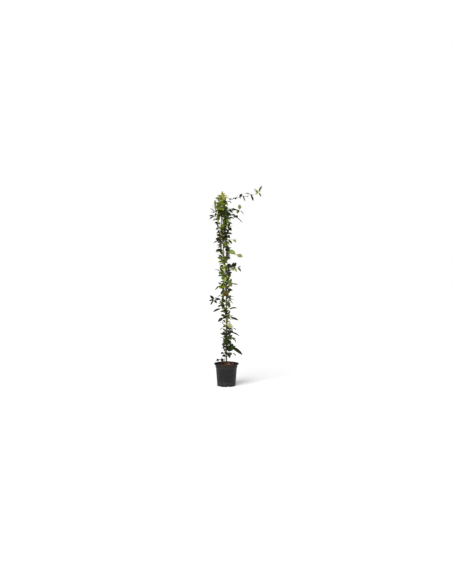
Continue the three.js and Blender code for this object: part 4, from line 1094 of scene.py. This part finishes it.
def chip_places(mix, pot, chance):
    """How far from the middle each chip lies and at which bearing, somewhat closer together near the
    middle, and its length, width and height. The placed chips come first."""
    wall = pot_wall_radius(pot, pot.height) - pot.wall
    distance = (wall - 0.006) * chance.uniform(0, 1, mix.chips) ** 0.6
    bearing = chance.uniform(0, 2 * np.pi, mix.chips)
    length = mix.chip_length * chance.lognormal(0, 0.4, mix.chips).clip(0.4, 1.9)
    width = length * chance.uniform(0.35, 0.75, mix.chips)
    height = length * chance.uniform(0.16, 0.36, mix.chips)
    distance = np.minimum(distance, wall - length / 2)
    for chip, (from_middle, degrees, sizes) in enumerate(PLACED_CHIPS):
        distance[chip], bearing[chip] = from_middle, np.radians(degrees)
        length[chip], width[chip], height[chip] = sizes
    return distance, bearing, length, width, height


def chip_tints(mix, chance):
    """Tints from the colour of bark to the pale one, most of them near the first, some brighter and
    some darker. The first placed chip is pale, and the lumps are plain bark."""
    fresh = chance.uniform(0, 1, (mix.chips, 1)) ** 2.2
    tint = np.array(mix.bark) * (1 - fresh) + np.array(mix.pale_bark) * fresh
    tint = tint * chance.uniform(0.25, 1.1, (mix.chips, 1))
    tint[: len(PLACED_CHIPS)] = mix.bark
    tint[0] = mix.pale_bark
    return tint


def chip_skins(mix, pot):
    """Bark chips: blunt six-sided slabs of uneven width, four rings long, each turned and tilted at
    random and partly sunk in the mix."""
    chance = np.random.default_rng(11)
    distance, bearing, length, width, height = chip_places(mix, pot, chance)
    each_corner = (mix.chips, 4, 6)
    stations = np.array([-0.5, -0.34, 0.30, 0.5])
    fullness = np.array([0.55, 1.0, 0.92, 0.5])[:, None] * chance.uniform(0.72, 1.15, each_corner)
    shift = chance.uniform(-0.06, 0.06, each_corner)
    across, above = circle(6).T
    x = (stations[:, None] + shift) * length[:, None, None]
    y = fullness * across * width[:, None, None] / 2
    z = fullness * above * height[:, None, None] / 2
    yaw = chance.uniform(0, 2 * np.pi, mix.chips)
    pitch, roll = chance.normal(0, 0.28, (2, mix.chips))
    chips = turned(np.stack([x, y, z], -1), yaw, pitch, roll)
    middle_x, middle_y = distance * np.cos(bearing), distance * np.sin(bearing)
    middle = np.stack([middle_x, middle_y, mix_top(mix, pot, middle_x, middle_y) + height * 0.3], -1)
    return tubes(chips + middle[:, None, None], chip_tints(mix, chance))


def cane_skin(cane):
    """The cane: rings along its bowed middle line, wider by a bell curve at each joint and waisted just
    above it, and hollow at the cut top."""
    ring_step, joint_reach, top_gap, bore_depth = 0.012, 0.008, 0.001, 0.004
    ring_spread, waist_lift, waist_spread = 0.0016, 0.0042, 0.002
    joints = np.arange(CANE_FIRST_JOINT, CANE_HIGH.z, CANE_JOINT_SPACING)
    near = (joints[:, None] + np.linspace(-joint_reach, joint_reach, 17)).ravel()
    heights = np.union1d(np.arange(CANE_LOW.z, CANE_HIGH.z, ring_step), near)
    heights = np.append(heights[heights < CANE_HIGH.z - top_gap], CANE_HIGH.z)
    since = heights[:, None] - joints
    ring = bell(since, ring_spread).sum(1) * cane.bulge
    waist = bell(since - waist_lift, waist_spread).sum(1) * cane.bulge * 0.5
    radii = cane.radius * (1.02 - 0.10 * heights / CANE_HIGH.z) + ring - waist
    rings = rings_round(cane_centre(heights), radii, 20, (0, 1, 0))
    middle = rings[-1].mean(0)
    bore = middle + (rings[-1] - middle) * 0.5
    return tubes(np.concatenate([rings, [bore, bore - [0, 0, bore_depth]]])[None])


def stem_skin(stem, looks, seed):
    """A stem: rings along its wound middle line, with furrowed bark, a knob every so often where a pair
    of leaves grew, and a tapered tip."""
    ring_step, first_knob, knob_step, knob_spread, tip_length = 0.004, 0.03, 0.058, 0.0045, 0.03
    low, high = stem_ends(stem)
    heights = np.arange(low, high, ring_step)
    middle = stem_centre(stem, heights)
    knobs = np.arange(low + first_knob, high, knob_step)
    knob = bell(heights[:, None] - knobs, knob_spread).sum(1) * looks.knob
    taper = 1 - 0.65 * smooth_step(high - tip_length, high, heights)
    smooth = rings_round(middle, stem_radius(stem, heights) * taper + knob, 14, (0, 1, 0))
    out = unit(smooth - middle[:, None])
    rough = lumps(smooth * [1, 1, 0.25], 0.0035, seed) + lumps(smooth, 0.02, seed + 1)
    return tubes((smooth + out * (rough * looks.bark_depth)[..., None])[None])


def loop_round(discs, radii, corners=72):
    """The tight loop round discs in one plane, and the directions that its points are found in: each
    is the one that lies furthest out on the disc that reaches furthest that way."""
    out = circle(corners)
    furthest = np.argmax(out @ discs.T + radii, axis=1)
    return discs[furthest] + out * radii[furthest][:, None], out


def tied_discs(cane, height):
    """The middles and the radii of both stems and the cane at a height."""
    at = np.array([height])
    middles = [stem_centre(stem, at)[0, :2] for stem in STEMS]
    radii = [stem_radius(stem, at)[0] for stem in STEMS]
    return np.array([*middles, cane_centre(at)[0, :2]]), np.array([*radii, cane.radius])


def tie_turn(line, out, level, tie):
    """One flat turn of a tie along the line, at its own level at each point. The section is a box with
    round corners: the square roots of a cosine and a sine."""
    wheel = circle(12)
    section = np.sign(wheel) * np.abs(wheel) ** 0.5
    flat = line[:, None] + out[:, None] * section[:, :1] * tie.band / 2
    tall = section[:, 1] * tie.height / 2
    turn = np.concatenate([flat, (level[:, None] + tall)[..., None]], -1)
    return tubes(turn[None, :, ::-1], looped=True)


def tie_knot(knot, tie):
    """The knot of a tie: a bead that slopes up a little to the right."""
    reach = np.linspace(-1, 1, 9)
    bulge = np.sqrt(1 - (reach * 0.97) ** 2) * tie.height * 0.75
    line = knot + np.outer(reach, [tie.height * 0.9, 0, tie.height * 0.25])
    return tubes(rings_round(line, bulge, 10, (0, 0, 1))[None])


def tie_end(knot, side, tie, chance):
    """A loose end of a tie, which leaves the knot to one side and bends down on a parabola."""
    t = np.linspace(0, 1, 10)
    sway = chance.uniform(0.5, 0.9)
    drop = np.stack([side * sway * t, -0.35 * t * (1 - t), -0.35 * t - 0.5 * t**2], -1)
    line = knot + drop * tie.tail
    spokes = rings_round(line, np.ones(len(line)), 8, (0, 1, 0)) - line[:, None]
    half = [tie.height * 0.45, tie.band * 0.4, tie.height * 0.45]
    return tubes((line[:, None] + spokes * half)[None])


def tie_skins(node, tie, cane, seed):
    """A tie: two flat turns round both stems and the cane, each a little tilted, a knot in front, and
    two loose ends that hang from it."""
    low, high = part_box(node)
    height = (low.z + high.z) / 2
    chance = np.random.default_rng(seed)
    discs, radii = tied_discs(cane, height)
    line, out = loop_round(discs, radii + tie.band / 2)
    skins = []
    for side in (-1, 1):
        tilt = chance.uniform(-0.12, 0.12, 2)
        level = height + side * tie.height * 0.48 + (line - discs.mean(0)) @ tilt
        skins.append(tie_turn(line, out, level, tie))
    front = line[np.argmin(line[:, 1])]
    knot = np.array([front[0], front[1] - tie.band * 0.6, height])
    skins.append(tie_knot(knot, tie))
    return skins + [tie_end(knot, side, tie, chance) for side in (-1, 1)]


def leaf_skins(base, tip, width, face, tint, chance, looks):
    """Leaves with their stalks, all at once, each a tube of eight-cornered rings. The middle line runs
    from base to tip, arched towards the upper face, swayed a little sideways and drooping at its tip.
    A blade's half width is s^0.62 (1 - s)^0.75, scaled to its widest, at share s of the blade. Its
    halves rise from the midrib in a shallow V, its margin waves, it twists towards its tip, and it is
    thickest at the midrib. On the stalk, where s is below 0, the ring is round."""
    one_each = (len(base), 1, 1)
    reach = np.linalg.norm(tip - base, axis=1, keepdims=True)
    along = unit(tip - base)
    normal = unit(face - (face * along).sum(1, keepdims=True) * along)
    side = np.cross(normal, along)
    stalk = np.clip(reach * STALK_SHARE, STALK_SHORTEST, STALK_LONGEST)
    share = np.maximum(BLADE, 0)
    distance = stalk * (1 + np.minimum(BLADE, 0)) + (reach - stalk) * share
    place = distance / reach
    outline = share**0.62 * (1 - share) ** 0.75
    half = width[:, None] / 2 * outline / outline.max() + STALK_RADIUS * (1 - 0.75 * share)
    sway = chance.normal(0, 0.025, reach.shape) * reach
    rise = looks.arch * chance.uniform(0.6, 1.5, reach.shape) * reach
    droop = chance.uniform(0.0, 0.16, reach.shape) * reach
    bow = 4 * place * (1 - place)
    lift = rise * bow - droop * np.maximum(place - 0.6, 0) ** 2
    middle = base[:, None] + along[:, None] * distance[..., None] + normal[:, None] * lift[..., None]
    middle = middle + side[:, None] * (sway * bow)[..., None]
    across, above = circle(8).T
    flat = (BLADE >= 0).astype(float)
    deep = STALK_RADIUS * (1 - flat) + flat * looks.thickness / 2 * (1 - 0.6 * share)
    fold = looks.fold * chance.uniform(0.3, 1.5, one_each)
    wave = chance.uniform(0, 2 * np.pi, one_each) + 9 * share[:, None] + 1.3 * across
    twist = chance.normal(0, 0.18, one_each) * share[:, None]
    lateral = half[..., None] * across
    vertical = deep[:, None] * above + np.abs(lateral) * fold + lateral * twist
    vertical = vertical + half[..., None] * 0.09 * np.sin(wave) * across**2 * share[:, None]
    rings = middle[:, :, None] + side[:, None, None] * lateral[..., None]
    return tubes(rings + normal[:, None, None] * vertical[..., None], tint, along=BLADE)


def seat_points(seat):
    """Where a shoot starts: the stem's middle, its skin, and a point a little further out, on the stem
    that stands furthest towards the shoot's bearing."""
    skin_gap, first_step = 0.0003, 0.005
    height, out = np.array([seat[0] * MM]), heading(seat[1])
    middles = [stem_centre(stem, height)[0] for stem in STEMS]
    chosen = np.argmax([middle @ out for middle in middles])
    skin = middles[chosen] + out * (stem_radius(STEMS[chosen], height)[0] + skin_gap)
    return middles[chosen], skin, skin + out * first_step


def faces_of(turn, base):
    """The direction that a leaf's upper face looks in: from the sky at turn 0 to the front at 1 or the
    back at -1, and a little outwards."""
    return np.stack([0 * turn, -turn, 1 - abs(turn)], -1) + 0.15 * unit(from_cane(base))


def tinted(names, chance, looks):
    """A tint for each named tone, a little brighter or darker and of another hue from leaf to leaf."""
    tone = np.array([getattr(looks, name)[:] for name in names])
    return tone * chance.uniform(0.78, 1.25, (len(tone), 1)) * chance.normal(1, 0.05, tone.shape)


def paired_leaves(middle, ahead, skin, length, names, chance, looks):
    """Small leaves in opposite pairs along a stem or twig. Each pair stands crosswise to the last one.
    A leaf leans ahead and aside by random shares, and its upper face turns outwards and up. One that
    would head inwards to the cane is turned away until LEAST_OUTWARDS of it points outwards."""
    pairs = len(middle)
    level = unit(np.cross(ahead, [0.1, 0.2, 1]))
    steep = np.cross(level, ahead)
    turn = np.arange(pairs) * np.pi / 2 + chance.normal(0, 0.35, pairs)
    spoke = level * np.cos(turn)[:, None] + steep * np.sin(turn)[:, None]
    spoke = np.concatenate([spoke, -spoke])
    middle, ahead, skin = (np.concatenate([each, each]) for each in (middle, ahead, skin))
    base = middle + spoke * skin[:, None]
    drift = chance.normal(0, 0.45, (2 * pairs, 3))
    lean = chance.uniform(0.0, 0.9, (2 * pairs, 1))
    direction = unit(spoke + ahead * lean + drift)
    reach = length * chance.uniform(0.7, 1.25, 2 * pairs)
    outward = unit(from_cane(middle) + 1e-6)
    heads_out = (direction * outward).sum(1, keepdims=True)
    direction = unit(direction + outward * np.maximum(LEAST_OUTWARDS - heads_out, 0))
    face = outward * chance.uniform(0.1, 1, (2 * pairs, 1)) + np.array([0, 0, 0.6])
    tint = tinted(chance.choice(names, 2 * pairs), chance, looks)
    width = reach * chance.uniform(0.40, 0.54, 2 * pairs)
    return leaf_skins(base, base + direction * reach[:, None], width, face, tint, chance, looks)


def small_leaf_skins(path, tone, chance, looks):
    """The pairs of small leaves along that part of a twig's path that is near the cane."""
    reach = running_length(path)
    nodes = np.arange(PAIR_START, reach[-1], PAIR_STEP)
    at = columns_at(nodes, reach, path)
    ahead = columns_at(nodes, reach, np.gradient(path, axis=0))
    aside = np.linalg.norm(from_cane(at), axis=1)
    near = (aside < np.interp(at[:, 2], *PAIR_REACH)) & (at[:, 2] > PAIRS_FROM)
    if not near.any():
        return []
    skin = np.full(near.sum(), looks.twig_tip * 0.5)
    return [paired_leaves(at[near], unit(ahead[near]), skin, PAIR_LEAF, [tone], chance, looks)]


def shoot_skins(shoot, looks, seed):
    """A shoot: a tapered twig on a smooth curve, thicker where leaves grow from it, and its leaves.
    All but the runner bear pairs of small leaves too."""
    rings_between, knot_spread, knot_height = 6, 0.12, 0.0005
    chance = np.random.default_rng(seed)
    root, *start = seat_points(shoot.seat)
    points = np.concatenate([start, np.array(shoot.path) * MM])
    leaves = np.array([leaf[:6] for leaf in shoot.leaves], float)
    tones = [leaf[6] if len(leaf) > 6 else shoot.tone for leaf in shoot.leaves]
    grows_at = leaves[:, 0] + 1
    places = np.arange(0, (len(points) - 1) * rings_between + 1) / rings_between
    path = np.concatenate([[root], through(points, places)])
    knot = bell(places[:, None] - grows_at, knot_spread).max(1) * knot_height
    radii = np.linspace(looks.twig_root, looks.twig_tip, len(places)) + knot
    radii[-1] = looks.twig_tip * 0.5
    flattest = np.argmin(np.abs(path[-1] - path[0]))
    rings = rings_round(path, np.append(looks.twig_root, radii), 8, np.eye(3)[flattest])
    tint = tinted(tones, chance, looks)
    twig_tint = np.array(looks.twig) * 0.75 + tint.mean(0) * 0.35
    base = through(points, grows_at)
    blades = leaf_skins(base, leaves[:, 1:4] * MM, leaves[:, 4] * MM,
                        faces_of(leaves[:, 5], base), tint, chance, looks)
    skins = [blades, tubes(rings[None], twig_tint, material=1)]
    if shoot is not RUNNER:
        skins += small_leaf_skins(path, shoot.tone, chance, looks)
    return skins


def inner_leaf_skins(stem, looks, seed):
    """The leaves that grow straight from a stem, in pairs. The pairs stand at even steps of the running
    total of INNER_PAIRS, which gives how many there are in each metre."""
    chance = np.random.default_rng(seed)
    levels, density = INNER_PAIRS.T
    total = np.concatenate([[0], np.cumsum(np.diff(levels) * (density[1:] + density[:-1]) / 2)])
    heights = np.interp(np.arange(0.5, total[-1]), total, levels)
    heights = heights[heights < stem_ends(stem)[1]]
    middle = stem_centre(stem, heights)
    ahead = unit(stem_centre(stem, heights + 0.002) - middle)
    skin = stem_radius(stem, heights) * 0.7
    skins = []
    for low, high, names in INNER_TONES:
        band = (heights >= low) & (heights < high)
        skins.append(paired_leaves(middle[band], ahead[band], skin[band], INNER_LEAF, names, chance, looks))
    return skins


# Operators


class JASMINE_OT_pot(Operator):
    """Makes the nursery pot: its outer face, given the plastic's thickness and a fine edge"""

    bl_idname = "jasmine.pot"
    bl_label = "Make pot"

    def execute(self, context):
        pot = context.scene.jasmine_pot
        piece = make_piece("nursery_pot", [pot_skin(pot)], [pot_finish(pot)], ["pot"])
        shell = piece.modifiers.new("plastic", "SOLIDIFY")
        shell.thickness = pot.wall
        shell.offset = -1
        shell.use_even_offset = True
        edge = piece.modifiers.new("edge", "BEVEL")
        edge.width = 0.0003
        edge.segments = 2
        edge.limit_method = "ANGLE"
        edge.angle_limit = np.radians(45)
        return {"FINISHED"}


class JASMINE_OT_mix(Operator):
    """Makes the potting mix and the bark chips that lie on it"""

    bl_idname = "jasmine.mix"
    bl_label = "Make potting mix"

    def execute(self, context):
        mix, pot = context.scene.jasmine_mix, context.scene.jasmine_pot
        make_piece("bark_mix", [mix_skin(mix, pot)], [soil_finish(mix)], ["potting_mix"])
        make_piece("bark_chips", [chip_skins(mix, pot)], [chip_finish()], sharp=30)
        return {"FINISHED"}


class JASMINE_OT_cane(Operator):
    """Makes the bamboo cane"""

    bl_idname = "jasmine.cane"
    bl_label = "Make cane"

    def execute(self, context):
        cane = context.scene.jasmine_cane
        make_piece("cane", [cane_skin(cane)], [cane_finish(cane)], ["bamboo_cane"])
        return {"FINISHED"}


class JASMINE_OT_stems(Operator):
    """Makes the two woody stems that wind round the cane"""

    bl_idname = "jasmine.stems"
    bl_label = "Make stems"

    def execute(self, context):
        looks = context.scene.jasmine_stem
        bark = bark_finish(looks, CANE_HIGH.z)
        for number, stem in enumerate(STEMS):
            skin = stem_skin(stem, looks, 20 + 2 * number)
            make_piece("vine_" + stem.node, [skin], [bark], [stem.node])
        return {"FINISHED"}


class JASMINE_OT_ties(Operator):
    """Makes the ties that hold the stems to the cane"""

    bl_idname = "jasmine.ties"
    bl_label = "Make ties"

    def execute(self, context):
        tie, cane = context.scene.jasmine_tie, context.scene.jasmine_cane
        finish = tie_finish(tie)
        for number, node in enumerate(TIES):
            skins = tie_skins(node, tie, cane, 30 + number)
            make_piece("plant_" + node, skins, [finish], [node])
        return {"FINISHED"}


class JASMINE_OT_shoots(Operator):
    """Makes the side shoots and the runner, each a twig with its leaves"""

    bl_idname = "jasmine.shoots"
    bl_label = "Make shoots"

    def execute(self, context):
        looks = context.scene.jasmine_leaf
        finishes = [leaf_finish(), twig_finish()]
        named = [(f"leafy_shoot_{number:02d}", shoot) for number, shoot in enumerate(SHOOTS, 1)]
        for number, (node, shoot) in enumerate([*named, ("runner", RUNNER)]):
            skins = shoot_skins(shoot, looks, 100 + number)
            make_piece("grown_" + node, skins, finishes, [node])
        return {"FINISHED"}


class JASMINE_OT_inner_leaves(Operator):
    """Makes the leaves that grow straight from the two stems"""

    bl_idname = "jasmine.inner_leaves"
    bl_label = "Make inner leaves"

    def execute(self, context):
        looks = context.scene.jasmine_leaf
        finish = leaf_finish()
        for number, stem in enumerate(STEMS):
            skins = inner_leaf_skins(stem, looks, 50 + number)
            make_piece("leaves_on_" + stem.node, skins, [finish])
        return {"FINISHED"}


class JASMINE_OT_stage(Operator):
    """Sets up the floor, the soft lights and the camera"""

    bl_idname = "jasmine.stage"
    bl_label = "Set the stage"

    def execute(self, context):
        looks = context.scene.jasmine_stage
        scene = context.scene
        scene.view_settings.view_transform = "Standard"
        make_floor(looks)
        scene.world = make_studio(looks)
        add_sun("key", (-0.9, -1.5, 1.5), looks.key, 40)
        add_sun("fill", (1.6, -1.0, 0.6), looks.fill, 90)
        lens = bpy.data.cameras.new("camera")
        lens.lens = looks.lens
        camera = put_in_scene("camera", lens)
        camera.location = (looks.aim_x, -looks.camera_distance, looks.camera_height)
        aim = Vector((looks.aim_x, 0, looks.aim_height))
        camera.rotation_euler = (aim - camera.location).to_track_quat("-Z", "Y").to_euler()
        scene.camera = camera
        return {"FINISHED"}


def make_studio(looks):
    """A world that gives soft light from all round and looks white."""
    world = bpy.data.worlds.new("studio")
    world.use_nodes = True
    tree = world.node_tree
    sky = tree.nodes["Background"]
    sky.inputs["Color"].default_value = (1, 1, 1, 1)
    view = tree.nodes.new("ShaderNodeLightPath")
    strength = tree.nodes.new("ShaderNodeMapRange")
    strength.inputs["To Min"].default_value = looks.daylight
    tree.links.new(view.outputs["Is Camera Ray"], strength.inputs["Value"])
    tree.links.new(strength.outputs["Result"], sky.inputs["Strength"])
    return world


def make_floor(looks):
    """A flat round floor: rings of points about the axis, from far beyond the view in to a pin hole."""
    pin_hole, rings, corners = 0.02, 12, 96
    reach = np.geomspace(looks.floor_radius, pin_hole, rings)
    level = reach[:, None, None] * circle(corners)
    skin = tubes(np.concatenate([level, 0 * level[..., :1]], -1)[None])
    mesh = bpy.data.meshes.new("floor")
    mesh.from_pydata(skin.points.tolist(), [], skin.quads.tolist() + skin.ends[1:].tolist())
    mesh.materials.append(floor_finish(looks))
    return put_in_scene("floor", mesh)


def add_sun(name, place, strength, spread):
    """Even soft light from the direction of a place, whose source is that many degrees across."""
    light = bpy.data.lights.new(name, "SUN")
    light.energy = strength
    light.angle = np.radians(spread)
    lamp = put_in_scene(name, light)
    lamp.location = place
    lamp.rotation_euler = (-lamp.location).to_track_quat("-Z", "Y").to_euler()


OPERATORS = (
    JASMINE_OT_stage, JASMINE_OT_pot, JASMINE_OT_mix, JASMINE_OT_cane, JASMINE_OT_stems,
    JASMINE_OT_ties, JASMINE_OT_shoots, JASMINE_OT_inner_leaves,
)
SETTINGS = {
    "jasmine_pot": PotSettings, "jasmine_mix": MixSettings, "jasmine_cane": CaneSettings,
    "jasmine_stem": StemSettings, "jasmine_tie": TieSettings, "jasmine_leaf": LeafSettings,
    "jasmine_stage": StageSettings,
}


class JASMINE_PT_panel(Panel):
    """The buttons that make each part of the plant"""

    bl_idname = "JASMINE_PT_panel"
    bl_label = "Star Jasmine"
    bl_space_type = "VIEW_3D"
    bl_region_type = "UI"
    bl_category = "Jasmine"

    def draw(self, context):
        for operator in OPERATORS:
            self.layout.operator(operator.bl_idname)
        for name, group in SETTINGS.items():
            box = self.layout.box()
            for setting in group.__annotations__:
                box.prop(getattr(context.scene, name), setting)


def register():
    """Makes Blender know the settings, the operators and the panel."""
    for group in (*SETTINGS.values(), *OPERATORS, JASMINE_PT_panel):
        bpy.utils.register_class(group)
    for name, group in SETTINGS.items():
        setattr(bpy.types.Scene, name, PointerProperty(type=group))


def unregister():
    """Undoes what register does."""
    for name in SETTINGS:
        delattr(bpy.types.Scene, name)
    for group in (JASMINE_PT_panel, *OPERATORS, *SETTINGS.values()):
        bpy.utils.unregister_class(group)


def main():
    """Makes the plant and the stage."""
    register()
    bpy.ops.jasmine.stage()
    bpy.ops.jasmine.pot()
    bpy.ops.jasmine.mix()
    bpy.ops.jasmine.cane()
    bpy.ops.jasmine.stems()
    bpy.ops.jasmine.ties()
    bpy.ops.jasmine.shoots()
    bpy.ops.jasmine.inner_leaves()
    bpy.context.view_layer.update()


if __name__ == "__main__":
    main()
